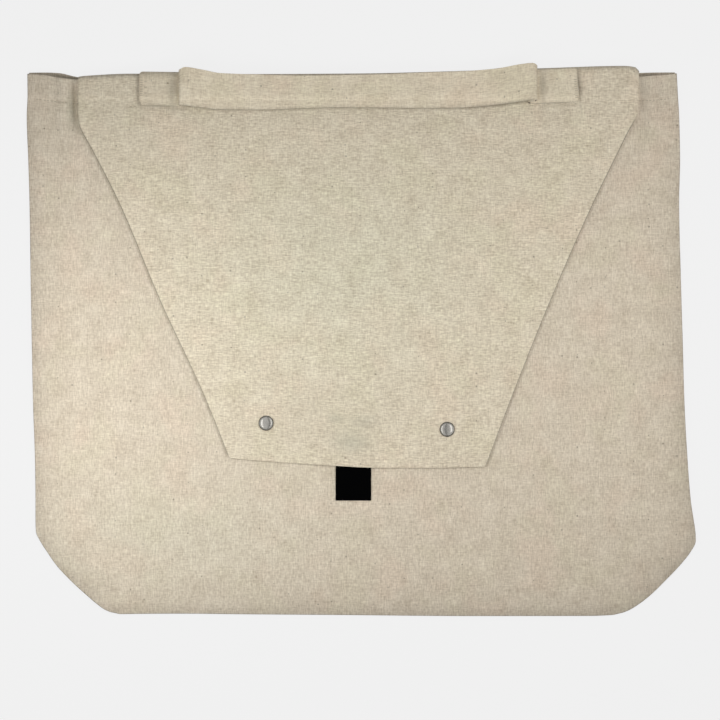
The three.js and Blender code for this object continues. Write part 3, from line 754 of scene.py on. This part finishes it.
class Output:
    """A node's output. It takes part in sums and products, and its node's other outputs are its items."""

    __add__ = operation("ADD")
    __sub__ = operation("SUBTRACT")
    __rsub__ = operation("SUBTRACT", swapped=True)
    __mul__ = operation("MULTIPLY")
    __truediv__ = operation("DIVIDE")
    __rtruediv__ = operation("DIVIDE", swapped=True)

    def __init__(self, nodes, node, key=0):
        self.nodes, self.node, self.socket = nodes, node, node.outputs[key]

    def __getitem__(self, key):
        return Output(self.nodes, self.node, key)


class Nodes:
    def __init__(self, tree):
        self.tree = tree

    def fill(self, node, inputs):
        """Links outputs to a node's inputs, and sets the inputs that are given as plain values."""
        for key, value in inputs.items():
            if isinstance(value, Output):
                self.tree.links.new(value.socket, node.inputs[key])
            else:
                node.inputs[key].default_value = value

    def add(self, kind, inputs=None, **settings):
        node = self.tree.nodes.new("ShaderNode" + kind)
        for name, value in settings.items():
            setattr(node, name, value)
        self.fill(node, inputs or {})
        return Output(self, node)

    def group(self, name, inputs):
        return self.add("Group", inputs, node_tree=bpy.data.node_groups[name])

    def attribute(self, name):
        return self.add("Attribute", attribute_name=name)["Fac"]

    def math(self, operation, a, b=0.0, clamp=False):
        return self.add("Math", {0: a, 1: b}, operation=operation, use_clamp=clamp)

    def vector(self, operation, inputs):
        return self.add("VectorMath", inputs, operation=operation)

    def stretch(self, vector, by):
        return self.vector("MULTIPLY", {0: vector, 1: by})

    def noise(self, vector, scale, detail=0.0):
        inputs = {"Vector": vector, "Scale": scale, "Detail": detail}
        return self.add("TexNoise", inputs, noise_dimensions="2D")

    def remap(self, value, low, high):
        """How far a value is from low to high, eased at both ends."""
        return self.add("MapRange", {0: value, 1: low, 2: high}, interpolation_type="SMOOTHSTEP")

    def vary(self, pattern, base, change):
        return pattern * change + base

    def mix(self, factor, a, b):
        return self.add("Mix", {0: factor, 6: a, 7: b}, data_type="RGBA")[2]

    def relief(self, height, strength, depth):
        return self.add("Bump", {"Strength": strength, "Distance": depth, "Height": height})


def new_group(name, inputs, outputs):
    """A shader node group with named sockets: its node helper, its inputs and its output node."""
    tree = bpy.data.node_groups.new(name, "ShaderNodeTree")
    for socket, kind in inputs.items():
        tree.interface.new_socket(name=socket, in_out="INPUT", socket_type="NodeSocket" + kind)
    for socket in outputs:
        tree.interface.new_socket(name=socket, in_out="OUTPUT", socket_type="NodeSocketFloat")
    nodes = Nodes(tree)
    return nodes, Output(nodes, tree.nodes.new("NodeGroupInput")), tree.nodes.new("NodeGroupOutput")


# The weave, in yarns: how yarns wander, stretch along themselves and rise, and how much each tone counts
WANDER_SCALE = 0.11
WANDER = 2.4
SLUB_STRETCH = (0.5, 0.06)
FINE_STRETCH = (0.8, 0.2)
SLUB_DETAIL = 1.5
YARN_MIDDLE = 1.15
GRAIN_SCALE = 0.42
GRAIN_SHARE = 0.3
CROWN_POWER = 0.7
CROWN_SHARE = 0.6
TONE_SHARE = 0.9


def plain_weave_group():
    """Plain weave: its height, and a tone from uneven yarns that run along and across the cloth."""
    inputs = {"Map": "Vector", "Yarn": "Float", "Lengthwise": "Float"}
    nodes, given, result = new_group("Plain weave", inputs, ("Height", "Tone"))
    yarns = nodes.vector("SCALE", {0: given["Map"], "Scale": 1.0 / given["Yarn"]})
    drift = nodes.noise(yarns, WANDER_SCALE, 1.0)["Color"]
    shifted = nodes.vector("SUBTRACT", {0: drift, 1: (0.5, 0.5, 0.5)})
    wavy = nodes.vector("MULTIPLY_ADD", {0: shifted, 1: (WANDER, WANDER, 0), 2: yarns})
    place = nodes.add("SeparateXYZ", {0: wavy})
    warp, weft = (nodes.math("SINE", place[axis] * math.pi) for axis in ("X", "Y"))
    crown = nodes.math("POWER", nodes.math("ABSOLUTE", warp * weft), CROWN_POWER)

    def unevenness(slub, fine):
        slubs = nodes.noise(nodes.stretch(yarns, (*slub, 1)), 1.0, SLUB_DETAIL)
        return slubs + nodes.noise(nodes.stretch(yarns, (*fine, 1)), 1.0)

    along_cloth = given["Lengthwise"] * unevenness(SLUB_STRETCH, FINE_STRETCH)
    across_cloth = (1.0 - given["Lengthwise"]) * unevenness(SLUB_STRETCH[::-1], FINE_STRETCH[::-1])
    tone = along_cloth + across_cloth - YARN_MIDDLE + nodes.noise(yarns, GRAIN_SCALE, 1.0) * GRAIN_SHARE
    nodes.fill(result, {"Height": crown * CROWN_SHARE + tone * TONE_SHARE, "Tone": tone})


# Seed specks: the share of cells that hold none, the smallest and the added radius, and how firm they are
SPECK_CHANCE = 0.72
SPECK_RADIUS = 0.045
SPECK_SPREAD = 0.05
SPECK_FIRMNESS = 1.6


def seed_speck_group():
    """Sparse specks of cotton seed, each with its own size and strength."""
    nodes, given, result = new_group("Seed specks", {"Map": "Vector", "Apart": "Float"}, ("Speck",))
    inputs = {"Vector": given["Map"], "Scale": 1.0 / given["Apart"]}
    cells = nodes.add("TexVoronoi", inputs, voronoi_dimensions="2D")
    chance = nodes.add("SeparateColor", {0: cells["Color"]})
    size = chance["Green"] * SPECK_SPREAD + SPECK_RADIUS
    spot = nodes.math("SUBTRACT", 1.0, cells["Distance"] / size, clamp=True)
    firm = nodes.math("MULTIPLY", spot, SPECK_FIRMNESS, clamp=True)
    nodes.fill(result, {"Speck": firm * nodes.remap(chance["Red"], SPECK_CHANCE, 1.0)})


# Wide unevenness, as noise scales for each metre of cloth and the noise values between which a hue sets in
BLOTCH_SCALE = 62.0
HUE_SCALE = 23.0
HUE_RANGE = (0.46, 0.72)
MOTTLE_DETAIL = 2.0


def mottle_group():
    """Wide soft unevenness of undyed cotton: a warm share, a cool share and a light to dark tone."""
    nodes, given, result = new_group("Cotton mottle", {"Map": "Vector"}, ("Warm", "Cool", "Tone"))
    hue = nodes.add("SeparateColor", {0: nodes.noise(given["Map"], HUE_SCALE, MOTTLE_DETAIL)["Color"]})
    warm, cool = (nodes.remap(hue[share], *HUE_RANGE) for share in ("Red", "Green"))
    tone = nodes.noise(given["Map"], BLOTCH_SCALE, MOTTLE_DETAIL) - 0.5
    nodes.fill(result, {"Warm": warm, "Cool": cool, "Tone": tone})


def make_groups():
    if "Plain weave" not in bpy.data.node_groups:
        plain_weave_group()
        seed_speck_group()
        mottle_group()


def new_material(name):
    material = bpy.data.materials.new(name)
    material.use_nodes = True
    return material, Nodes(material.node_tree), material.node_tree.nodes["Principled BSDF"]


BLACK = (0, 0, 0)
WHITE = (1, 1, 1)


def tinted(colour, tint, share):
    return tuple(lerp(a, b, share) for a, b in zip(colour, tint)) + (1.0,)


# Cotton's hues as shares of its colour, the colours of its show-through and painted shade, and its specks:
# distance apart, strength and colour
WARMER = (1.02, 0.99, 0.985)
COOLER = (0.99, 1.0, 0.975)
GREENER = (0.89, 1.0, 0.985)
MOTTLE_CONTRAST = 0.24
BROWNING = (0.86, 1.0, 1.14)
SHOW_THROUGH_AND_SHADE_COLOUR = (0.35, 0.345, 0.27, 1)
EDGE_SHADE_COLOUR = (0.13, 0.11, 0.08, 1)
SPECKS = ((4 * MM, 0.33, (0.2, 0.15, 0.09, 1)), (12 * MM, 0.56, (0.12, 0.085, 0.05, 1)))


def cotton(name, colour, yarn, lengthwise, contrast):
    """Undyed cotton cloth: weave, slubs, mottle, seed specks, the tab's show-through, and painted shade
    beside parts and on its edges.
    """
    material, nodes, shader = new_material(name)
    weave_map = nodes.add("UVMap", uv_map="Weave")
    weave = nodes.group("Plain weave", {"Map": weave_map, "Yarn": yarn, "Lengthwise": lengthwise})
    mottle = nodes.group("Cotton mottle", {"Map": weave_map})
    cloth = (*colour, 1)
    hues = (mottle["Warm"], WARMER), (mottle["Cool"], COOLER), (nodes.attribute("tint"), GREENER)
    for share, hue in hues:
        cloth = nodes.mix(share, cloth, (*(part * k for part, k in zip(colour, hue)), 1))
    tone = weave["Tone"] * contrast + mottle["Tone"] * MOTTLE_CONTRAST
    browned = nodes.vector("MULTIPLY_ADD", {0: tone, 1: BROWNING, 2: WHITE})
    cloth = nodes.vector("MULTIPLY", {0: cloth, 1: browned})
    # The tab's show-through and painted shade
    cloth = nodes.mix(nodes.attribute("show_through_and_shade"), cloth, SHOW_THROUGH_AND_SHADE_COLOUR)
    for apart, strength, dark in SPECKS:
        speck = nodes.group("Seed specks", {"Map": weave_map, "Apart": apart})
        cloth = nodes.mix(speck * strength, cloth, dark)
    nodes.fill(shader, {
        # Painted shade on the edges and along the shadow lines
        "Base Color": nodes.mix(nodes.attribute("edge"), cloth, EDGE_SHADE_COLOUR),
        "Roughness": nodes.vary(weave["Tone"], base=0.88, change=0.2),
        "Sheen Weight": 0.12,
        "Sheen Roughness": 0.6,
        "Specular IOR Level": 0.25,
        "Normal": nodes.relief(weave["Height"], strength=0.5, depth=0.25 * MM),
    })
    return material


# The tab's yarn, and how much its ribs stand out
TAPE_YARN = 0.5 * MM
TAPE_CONTRAST = 0.8


def tape(name, colour):
    """Black woven tape with fine ribs across it."""
    material, nodes, shader = new_material(name)
    weave_map = nodes.add("UVMap", uv_map="Weave")
    weave = nodes.group("Plain weave", {"Map": weave_map, "Yarn": TAPE_YARN, "Lengthwise": 0.35})
    lighter = nodes.math("MULTIPLY", weave["Height"], TAPE_CONTRAST, clamp=True)
    groove, rib = tinted(colour, BLACK, share=0.35), tinted(colour, WHITE, share=0.0015)
    nodes.fill(shader, {
        "Base Color": nodes.mix(lighter, groove, rib),
        "Roughness": nodes.vary(weave["Tone"], base=0.8, change=0.3),
        "Specular IOR Level": 0.02,
        "Normal": nodes.relief(weave["Height"], strength=0.7, depth=0.2 * MM),
    })
    return material


# Nickel's tarnish and scratches, as noise for each metre, and the colour of the painted shade and dark
# reflection on the cap's rim
TARNISH_SCALE = 420.0
TARNISH_DETAIL = 3.0
TARNISH_COLOUR = (0.2, 0.17, 0.12)
SCRATCH_STRETCH = (5200.0, 500.0, 1)
SCRATCH_DETAIL = 2.0
RIM_SHADE_COLOUR = (0.11, 0.1, 0.075, 1)


def nickel(name, colour):
    """Nickel plate with fine handling scratches, a little tarnish and painted shade and dark reflection on
    its rim.
    """
    material, nodes, shader = new_material(name)
    place = nodes.add("TexCoord")["Object"]
    tarnish = nodes.noise(place, TARNISH_SCALE, TARNISH_DETAIL)
    scratches = nodes.noise(nodes.stretch(place, SCRATCH_STRETCH), 1.0, SCRATCH_DETAIL)
    plated = nodes.mix(tarnish, tinted(colour, TARNISH_COLOUR, share=0.3), (*colour, 1))
    nodes.fill(shader, {
        # Painted shade and dark reflection on the rim
        "Base Color": nodes.mix(nodes.attribute("rim"), plated, RIM_SHADE_COLOUR),
        "Roughness": nodes.vary(scratches, base=0.1, change=0.14),
        "Metallic": 1.0,
        "Normal": nodes.relief(scratches, strength=0.15, depth=0.03 * MM),
    })
    return material


def thread(name, colour):
    """Twisted cotton sewing thread."""
    material, nodes, shader = new_material(name)
    inputs = {"Vector": nodes.add("TexCoord")["Object"], "Scale": 900.0, "Distortion": 1.0}
    twist = nodes.add("TexWave", inputs, bands_direction="DIAGONAL")["Fac"]
    nodes.fill(shader, {
        "Base Color": nodes.mix(twist, tinted(colour, BLACK, share=0.25), (*colour, 1)),
        "Roughness": 0.85,
        "Normal": nodes.relief(twist, strength=0.4, depth=0.08 * MM),
    })
    return material


# Metal and sewing
# The snap cap's profile from the hole under it to its crown, and the radii between which its rim is painted
# darker for shade and dark reflection
CAP_SIDES = 56
CAP_PROFILE = (
    (0.25, 1.2), (2.5, 1.2), (2.5, 0.15), (2.65, 0.0), (5.0, 0.0), (5.3, 0.12), (5.4, 0.4), (5.4, 1.45),
    (5.25, 1.6), (1.7, 1.6), (1.7, 3.7), (5.8, 3.7), (6.1, 3.8), (6.25, 4.02), (6.25, 4.45), (6.12, 4.68),
    (5.85, 4.8), (5.5, 4.8), (5.3, 4.72), (5.15, 4.5), (4.95, 4.42), (4.7, 4.5), (4.3, 4.62), (3.4, 4.76),
    (2.2, 4.86), (1.0, 4.9), (0.2, 4.9),
)
RIM_SHADE_RADII = 5.2 * MM, 5.9 * MM


def turned(name, place, profile, material):
    """A round piece: a circle at the first ring of its profile, extruded and scaled from ring to ring."""
    x, y, z = place
    deselect()
    r, rise = profile[0]
    bpy.ops.mesh.primitive_circle_add(
        vertices=CAP_SIDES, radius=r * MM, fill_type="TRIFAN", location=(x, y, z + rise * MM))
    piece = bpy.context.object
    piece.name = piece.data.name = name
    bpy.ops.object.mode_set(mode="EDIT")
    bpy.ops.mesh.select_all(action="SELECT")
    for (r, rise), (next_r, next_rise) in zip(profile, profile[1:]):
        bpy.ops.mesh.extrude_region_move(TRANSFORM_OT_translate={"value": (0, 0, (next_rise - rise) * MM)})
        grow = next_r / r
        bpy.ops.transform.resize(value=(grow, grow, 1), center_override=(x, y, z + next_rise * MM))
    bpy.ops.mesh.select_all(action="SELECT")
    bpy.ops.mesh.normals_make_consistent(inside=False)
    bpy.ops.object.mode_set(mode="OBJECT")
    bpy.ops.object.transform_apply(location=True, rotation=True, scale=True)
    piece.data.materials.append(material)
    away = [math.hypot(vertex.co.x - x, vertex.co.y - y) for vertex in piece.data.vertices]
    # How far each point is painted with the rim's shade and dark reflection
    give_share(piece.data, "rim", smoothstep(np.array(away, np.float32), *RIM_SHADE_RADII))
    smooth(piece, "metal")
    return piece


# The sewing: gap, flatness and facets of a stitch, the hems' rows, and a tail of the seam beside each patch
STITCH_GAP = 0.7 * MM
STITCH_FLATNESS = 0.8
STITCH_SEGMENTS = 7
STITCH_RINGS = 5
HEM_ROW_DOWN = 20.6 * MM
HEM_ROW_ENDS = (0.012, 0.988)
HEM_ROW_STEPS = 30
FRONT_STITCH_LIFT = 0.02 * MM
BACK_STITCH_SHARE = 0.4
SEAM_TAILS = np.array([((-193.8, 194.2), (-186.9, 194.1)), ((167.5, 191.3), (174.0, 191.2))]) * MM

# Short bars of thread at the patches' ends: places and half length in millimetres, turns in degrees
BAR_HALF = 1.5
BAR_PITCH = 1.5
BARS = {
    "left": [(-183.4, y, 0) for y in np.arange(203.4, 219, BAR_PITCH)]
    + [(-179.8, y, 0) for y in (205.2, 210.1, 214.6)],
    "right": [(179.6 - 0.09 * (y - 200), y, -5) for y in np.arange(201.5, 217, BAR_PITCH)],
}


def bar_ends(x, y, turn):
    c, s = math.cos(math.radians(turn)) * BAR_HALF, math.sin(math.radians(turn)) * BAR_HALF
    return ((x - c) * MM, (y - s) * MM), ((x + c) * MM, (y + s) * MM)


def hem_row(mouth):
    """Short lines one after another, at the hem's depth under a mouth edge."""
    ends, _ = body_place(np.array(HEM_ROW_ENDS), HEM_ROW_DOWN, mouth)
    xs = np.linspace(*ends, HEM_ROW_STEPS)
    places = list(zip(xs, along(mouth, "x", "y", xs) - HEM_ROW_DOWN))
    return list(zip(places, places[1:]))


def stitch_shape():
    """The points and faces of one stitch of unit length along X, made from a sphere whose poles turn to X."""
    deselect()
    bpy.ops.mesh.primitive_uv_sphere_add(segments=STITCH_SEGMENTS, ring_count=STITCH_RINGS, radius=0.5)
    ball = bpy.context.object
    points = np.array([v.co for v in ball.data.vertices])[:, [2, 0, 1]]
    faces = [list(face.vertices) for face in ball.data.polygons]
    bpy.data.objects.remove(ball)
    return points, faces


def stitches(name, lines, long, thick, level, material):
    """Rows of stitches laid on a face: each line runs between two places, and level gives the face."""
    shape, shape_faces = stitch_shape()
    ahead, aside, above = (shape * (long, thick, thick * STITCH_FLATNESS)).T
    vertices, faces = [], []
    for (x0, y0), (x1, y1) in lines:
        length = math.hypot(x1 - x0, y1 - y0)
        count = max(1, round(length / (long + STITCH_GAP)))
        ux, uy = (x1 - x0) / length, (y1 - y0) / length
        for k in range(count):
            t = (k + 0.5) / count
            x, y = lerp(x0, x1, t), lerp(y0, y1, t)
            half = long / 2
            z0 = float(level(x - ux * half, y - uy * half))
            z1 = float(level(x + ux * half, y + uy * half))
            z = (z0 + z1) / 2 + (z1 - z0) * ahead / long + above
            faces += [[index + len(vertices) * len(shape) for index in face] for face in shape_faces]
            vertices.append(np.stack([x + ux * ahead - uy * aside, y + uy * ahead + ux * aside, z], 1))
    piece = new_piece(name, np.concatenate(vertices), faces, material)
    smooth(piece, "thread")
    return piece


# What a user may change
def length_property(name, description, millimetres):
    return FloatProperty(name=name, description=description, default=millimetres * MM, unit="LENGTH",
                         min=0.0, precision=5)


def power_property(name, description, watts):
    return FloatProperty(name=name, description=description, default=watts, unit="POWER", min=0.0)


def strength_property(name, description, strength):
    return FloatProperty(name=name, description=description, default=strength, min=0.0)


def colour_property(name, description, colour):
    return FloatVectorProperty(name=name, description=description, default=colour, size=3, min=0.0, max=1.0,
                               subtype="COLOR")


class CottonBagSizes(PropertyGroup):
    canvas: length_property("Canvas", "Thickness of the front and back panels' canvas", 0.85)
    flap: length_property("Flap", "Thickness of the flap, which is two layers turned and pressed", 1.5)
    strap: length_property("Strap", "Thickness of the folded strap", 2.0)
    strap_clear: length_property("Strap clearance", "Gap between the strap and the flap under it", 0.7)
    strap_pitch: length_property("Fold pitch", "Height of one layer in the strap's Z-folds", 2.6)
    tab: length_property("Tab", "Thickness of the woven tab", 0.8)
    yarn: length_property("Yarn", "Distance from one canvas yarn to the next", 0.72)
    stitch: length_property("Stitch", "Length of one stitch", 2.2)
    thread: length_property("Thread", "Thickness of the sewing thread", 0.45)
    columns: IntProperty(name="Columns", description="Points across each panel", default=200, min=20, max=230)
    rows: IntProperty(name="Rows", description="Points down each panel", default=160, min=20, max=190)


class CottonBagColours(PropertyGroup):
    canvas: colour_property("Canvas", "Colour of the panels' cotton", (0.689, 0.6, 0.472))
    flap: colour_property("Flap", "Colour of the flap's cotton", (0.718, 0.632, 0.486))
    # Painted light: the strap is the panels' cotton, made lighter because it stands higher in the light
    strap: colour_property("Strap", "Colour of the strap's cotton", (0.775, 0.68, 0.52))
    # Painted shade: the thread is the cotton's colour, made darker for the shade round the stitches
    thread: colour_property("Thread", "Colour of the sewing thread", (0.42, 0.36, 0.265))
    tab: colour_property("Tab", "Colour of the woven tab", (0.0008, 0.0008, 0.001))
    nickel: colour_property("Nickel", "Colour of the snaps' plating", (0.54, 0.525, 0.49))
    floor: colour_property("Floor", "Colour of the floor", (0.04, 0.04, 0.04))


class CottonBagStudio(PropertyGroup):
    key: power_property("Key light", "Power of the light over the left", 1.08)
    near: power_property("Near light", "Power of the light over the right", 0.79)
    edge: power_property("Edge light", "Power of the low light past the mouth; the bottom's has less", 0.85)
    fill: power_property("Fill light", "Power of the high light at the right", 1.2)
    cards: strength_property("Cards", "Radiance of the cards that only show in metal", 0.55)
    sky: strength_property("Surroundings", "Strength of the even light all round", 0.216)
    glow: strength_property("Floor glow", "The floor's own light, which keeps it even", 0.835)


# The pieces
def settings(context):
    scene = context.scene
    return scene.cotton_bag_sizes, scene.cotton_bag_colours, scene.cotton_bag_studio


class COTTON_BAG_OT_panels(Operator):
    """Make the front and back panels, with their turned mouth hems and closed edges"""

    bl_idname = "cotton_bag.panels"
    bl_label = "Panels"

    def execute(self, context):
        sizes, colours, _ = settings(context)
        make_groups()
        material = cotton("canvas", colours.canvas, sizes.yarn, lengthwise=0.58, contrast=0.56)
        t, columns, rows = sizes.canvas, sizes.columns, sizes.rows
        points, first = panel_surface(
            FRONT_MOUTH, columns, rows, t, lambda x, y: front_top(x, y) - t / 2, side=1)
        roll = (first, seam_tip(points, first, SEAM_LIFT["front"]), SEAM_REACH)
        front = cloth_piece("front_panel_cloth", points, t, material, roll)
        finish_piece(front, "canvas", "front_panel")
        points, first = panel_surface(
            BACK_MOUTH, columns // 2, rows // 2, t, lambda x, y: t / 2 + 0 * x, side=-1)
        roll = (first, seam_tip(points, first, SEAM_LIFT["back"]), SEAM_REACH)
        back = cloth_piece("back_panel_cloth", points, t, material, roll)
        finish_piece(back, "canvas", "back_panel")
        return {"FINISHED"}


class COTTON_BAG_OT_flap(Operator):
    """Make the flap, from its root in the back's hem over the mouth to its lower edge"""

    bl_idname = "cotton_bag.flap"
    bl_label = "Flap"

    def execute(self, context):
        sizes, colours, _ = settings(context)
        make_groups()
        material = cotton("flap_canvas", colours.flap, sizes.yarn, lengthwise=0.4, contrast=0.66)
        flap = cloth_piece("flap_cloth", flap_surface(sizes.flap), sizes.flap, material, soft_edge=0.7 * MM)
        finish_piece(flap, "flap_canvas", "flap")
        return {"FINISHED"}


class COTTON_BAG_OT_handle(Operator):
    """Make the handle: a strap with a Z-fold at each end, and the patches that are sewn to the flap"""

    bl_idname = "cotton_bag.handle"
    bl_label = "Handle"

    def execute(self, context):
        sizes, colours, _ = settings(context)
        make_groups()
        material = cotton("strap_canvas", colours.strap, sizes.yarn, lengthwise=0.4, contrast=0.5)
        points = handle_surface(sizes.strap, sizes.strap_clear, sizes.strap_pitch)
        strap = cloth_piece(
            "handle_strap", points, sizes.strap, material, soft_edge=0.9 * MM, lengthwise=True)
        finish_piece(strap, "strap_canvas", "handle")
        return {"FINISHED"}


class COTTON_BAG_OT_tab(Operator):
    """Make the woven tab that comes out from under the flap"""

    bl_idname = "cotton_bag.tab"
    bl_label = "Tab"

    def execute(self, context):
        sizes, colours, _ = settings(context)
        make_groups()
        x = np.linspace(TAB_LOW.x - TAB_WIDER, TAB_HIGH.x, TAB_GRID["columns"])
        y = np.linspace(TAB_HIGH.y, TAB_LOW.y, TAB_GRID["rows"])[:, None]
        points = points_from(x, y, front_top(x, y) + TAB_CLEAR + sizes.tab / 2)
        tab = cloth_piece("tab_tape", points, sizes.tab, tape("tape", colours.tab), soft_edge=0.2 * MM)
        finish_piece(tab, "tape", "tab")
        return {"FINISHED"}


class COTTON_BAG_OT_snaps(Operator):
    """Make the press snaps' caps, and plate their studs"""

    bl_idname = "cotton_bag.snaps"
    bl_label = "Snaps"

    def execute(self, context):
        _, colours, _ = settings(context)
        material = nickel("nickel", colours.nickel)
        low = [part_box(f"snap_cap_{side}")[0].z for side in SNAP_SIDES]
        first = turned("snap_cap_left_metal", (*SNAPS[0], low[0]), CAP_PROFILE, material)
        second = first.copy()
        second.data = first.data.copy()
        second.name = second.data.name = "snap_cap_right_metal"
        context.scene.collection.objects.link(second)
        step = (SNAPS[1][0] - SNAPS[0][0], SNAPS[1][1] - SNAPS[0][1], low[1] - low[0])
        second.data.transform(Matrix.Translation(step))
        for cap, side in zip((first, second), SNAP_SIDES):
            finish_piece(cap, "nickel", f"snap_cap_{side}")
            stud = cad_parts[f"snap_stud_{side}"]
            stud.data.materials.clear()
            stud.data.materials.append(material)
        return {"FINISHED"}


class COTTON_BAG_OT_sewing(Operator):
    """Make the stitches: the hems' rows, the bars at the patches' ends and the seam tails beside them"""

    bl_idname = "cotton_bag.sewing"
    bl_label = "Sewing"

    def execute(self, context):
        sizes, colours, _ = settings(context)
        material = thread("thread", colours.thread)
        long, thick = sizes.stitch, sizes.thread
        front = stitches("front_hem_sewing", hem_row(FRONT_MOUTH), long, thick,
                         lambda x, y: front_top(x, y) + FRONT_STITCH_LIFT, material)
        finish_piece(front, "canvas")
        back = stitches("back_hem_sewing", hem_row(BACK_MOUTH), long, thick,
                        lambda x, y: BACK_STITCH_SHARE * thick, material)
        finish_piece(back, "canvas")

        def patch_top(x, y):
            return on_flap(x, y, 0, sizes.strap_clear + sizes.strap)[..., 2]

        for side, bars in BARS.items():
            lines = [bar_ends(*bar) for bar in bars]
            ladder = stitches(f"{side}_patch_sewing", lines, 2 * BAR_HALF * MM, thick, patch_top, material)
            finish_piece(ladder, "strap_canvas")
        ends = stitches("flap_seam_ends", SEAM_TAILS, long, thick, flap_top, material)
        finish_piece(ends, "flap_canvas")
        return {"FINISHED"}


# The stage, in metres: the floor, the camera, and the lights with place, aim, size, power and share of it
FLOOR_SIZE = 12
FLOOR_DROP = 0.2 * MM
CAMERA_PLACE = (-1.1 * MM, -17.1 * MM, 6.0)
CAMERA_LENS = {"lens": 359.3, "sensor_width": 36, "clip_end": 50}
LIGHTS = (
    ("key_light", (-0.28, -0.072, 0.36), (-0.225, -0.052, 0), (0.28, 0.3), "key", 1.0),
    ("near_light", (0.23, -0.03, 0.5), (0.18, -0.04, 0), (0.2, 0.22), "near", 1.0),
    ("mouth_edge_light", (-0.05, 0.95, 0.12), (-0.05, 0.2, 0), (1.0, 0.15), "edge", 1.0),
    ("bottom_edge_light", (-0.05, -0.95, 0.12), (-0.05, -0.2, 0), (1.0, 0.15), "edge", 0.75),
    ("fill_light", (0.47, 0.16, 0.6), (0, 0, 0), (0.4, 0.4), "fill", 1.0),
)

# Cards and strips that only show in the snaps: place, width, length and share of the cards' radiance
METAL_CARDS = (
    ("card_left", -0.29, -0.08, 0.6, 0.58, 1.0, 1.0),
    ("card_right", 0.335, -0.08, 0.6, 0.53, 1.0, 0.9),
    ("strip_left", -0.275, -0.1, 0.58, 0.12, 0.4, 2.6),
    ("strip_right", 0.265, -0.03, 0.58, 0.12, 0.36, 2.4),
)


def area_light(name, place, target, size, power, metal_only=False):
    light = bpy.data.lights.new(name, "AREA")
    light.shape = "RECTANGLE"
    light.size, light.size_y = size
    light.energy = power
    lamp = bpy.data.objects.new(name, light)
    lamp.location = place
    aim = [t - p for t, p in zip(target, place)]
    lamp.rotation_euler = Vector(aim).to_track_quat("-Z", "Y").to_euler()
    lamp.visible_camera = False
    lamp.visible_glossy = metal_only
    lamp.visible_diffuse = not metal_only
    bpy.context.scene.collection.objects.link(lamp)


class COTTON_BAG_OT_stage(Operator):
    """Make the floor, the lights and the camera, which looks straight down"""

    bl_idname = "cotton_bag.stage"
    bl_label = "Stage"

    def execute(self, context):
        _, colours, studio = settings(context)
        scene = context.scene
        deselect()
        bpy.ops.mesh.primitive_plane_add(size=FLOOR_SIZE, location=(0, 0, -FLOOR_DROP))
        floor = context.object
        floor.name = floor.data.name = "floor"
        material, nodes, shader = new_material("floor")
        grain = nodes.noise(nodes.add("TexCoord")["Object"], scale=2.0, detail=2.0)
        nodes.fill(shader, {
            "Base Color": nodes.mix(grain, tinted(colours.floor, BLACK, share=0.02), (*colours.floor, 1)),
            "Roughness": 0.9,
            "Emission Color": (*WHITE, 1),
            "Emission Strength": studio.glow,
        })
        floor.data.materials.append(material)
        floor.visible_diffuse = False
        world = bpy.data.worlds.new("Studio")
        world.use_nodes = True
        sky = {"Color": (*WHITE, 1), "Strength": studio.sky}
        Nodes(world.node_tree).fill(world.node_tree.nodes["Background"], sky)
        scene.world = world
        for name, place, target, size, power, share in LIGHTS:
            area_light(name, place, target, size, getattr(studio, power) * share)
        for name, x, y, z, wide, long, share in METAL_CARDS:
            power = studio.cards * share * math.pi * wide * long
            area_light(name, (x, y, z), (x, y, 0), (wide, long), power, metal_only=True)
        lens = bpy.data.cameras.new("camera")
        for setting, value in CAMERA_LENS.items():
            setattr(lens, setting, value)
        camera = bpy.data.objects.new("camera", lens)
        camera.location = CAMERA_PLACE
        scene.collection.objects.link(camera)
        scene.camera = camera
        scene.view_settings.view_transform = "Standard"
        return {"FINISHED"}


STEPS = (
    COTTON_BAG_OT_panels,
    COTTON_BAG_OT_flap,
    COTTON_BAG_OT_handle,
    COTTON_BAG_OT_tab,
    COTTON_BAG_OT_snaps,
    COTTON_BAG_OT_sewing,
    COTTON_BAG_OT_stage,
)


class COTTON_BAG_PT_panel(Panel):
    """Buttons for each part of the bag, with the sizes and colours they read"""

    bl_idname = "COTTON_BAG_PT_panel"
    bl_label = "Cotton bag"
    bl_space_type = "VIEW_3D"
    bl_region_type = "UI"
    bl_category = "Cotton bag"

    def draw(self, context):
        for step in STEPS:
            self.layout.operator(step.bl_idname)
        for group in settings(context):
            box = self.layout.box()
            for name in group.bl_rna.properties.keys():
                if name not in ("rna_type", "name"):
                    box.prop(group, name)


CLASSES = (CottonBagSizes, CottonBagColours, CottonBagStudio, *STEPS, COTTON_BAG_PT_panel)


def register():
    for kind in CLASSES:
        bpy.utils.register_class(kind)
    bpy.types.Scene.cotton_bag_sizes = PointerProperty(type=CottonBagSizes)
    bpy.types.Scene.cotton_bag_colours = PointerProperty(type=CottonBagColours)
    bpy.types.Scene.cotton_bag_studio = PointerProperty(type=CottonBagStudio)


def unregister():
    del bpy.types.Scene.cotton_bag_studio
    del bpy.types.Scene.cotton_bag_colours
    del bpy.types.Scene.cotton_bag_sizes
    for kind in reversed(CLASSES):
        bpy.utils.unregister_class(kind)


def main():
    register()
    bpy.ops.cotton_bag.panels()
    bpy.ops.cotton_bag.flap()
    bpy.ops.cotton_bag.handle()
    bpy.ops.cotton_bag.tab()
    bpy.ops.cotton_bag.snaps()
    bpy.ops.cotton_bag.sewing()
    bpy.ops.cotton_bag.stage()


if __name__ == "__main__":
    main()
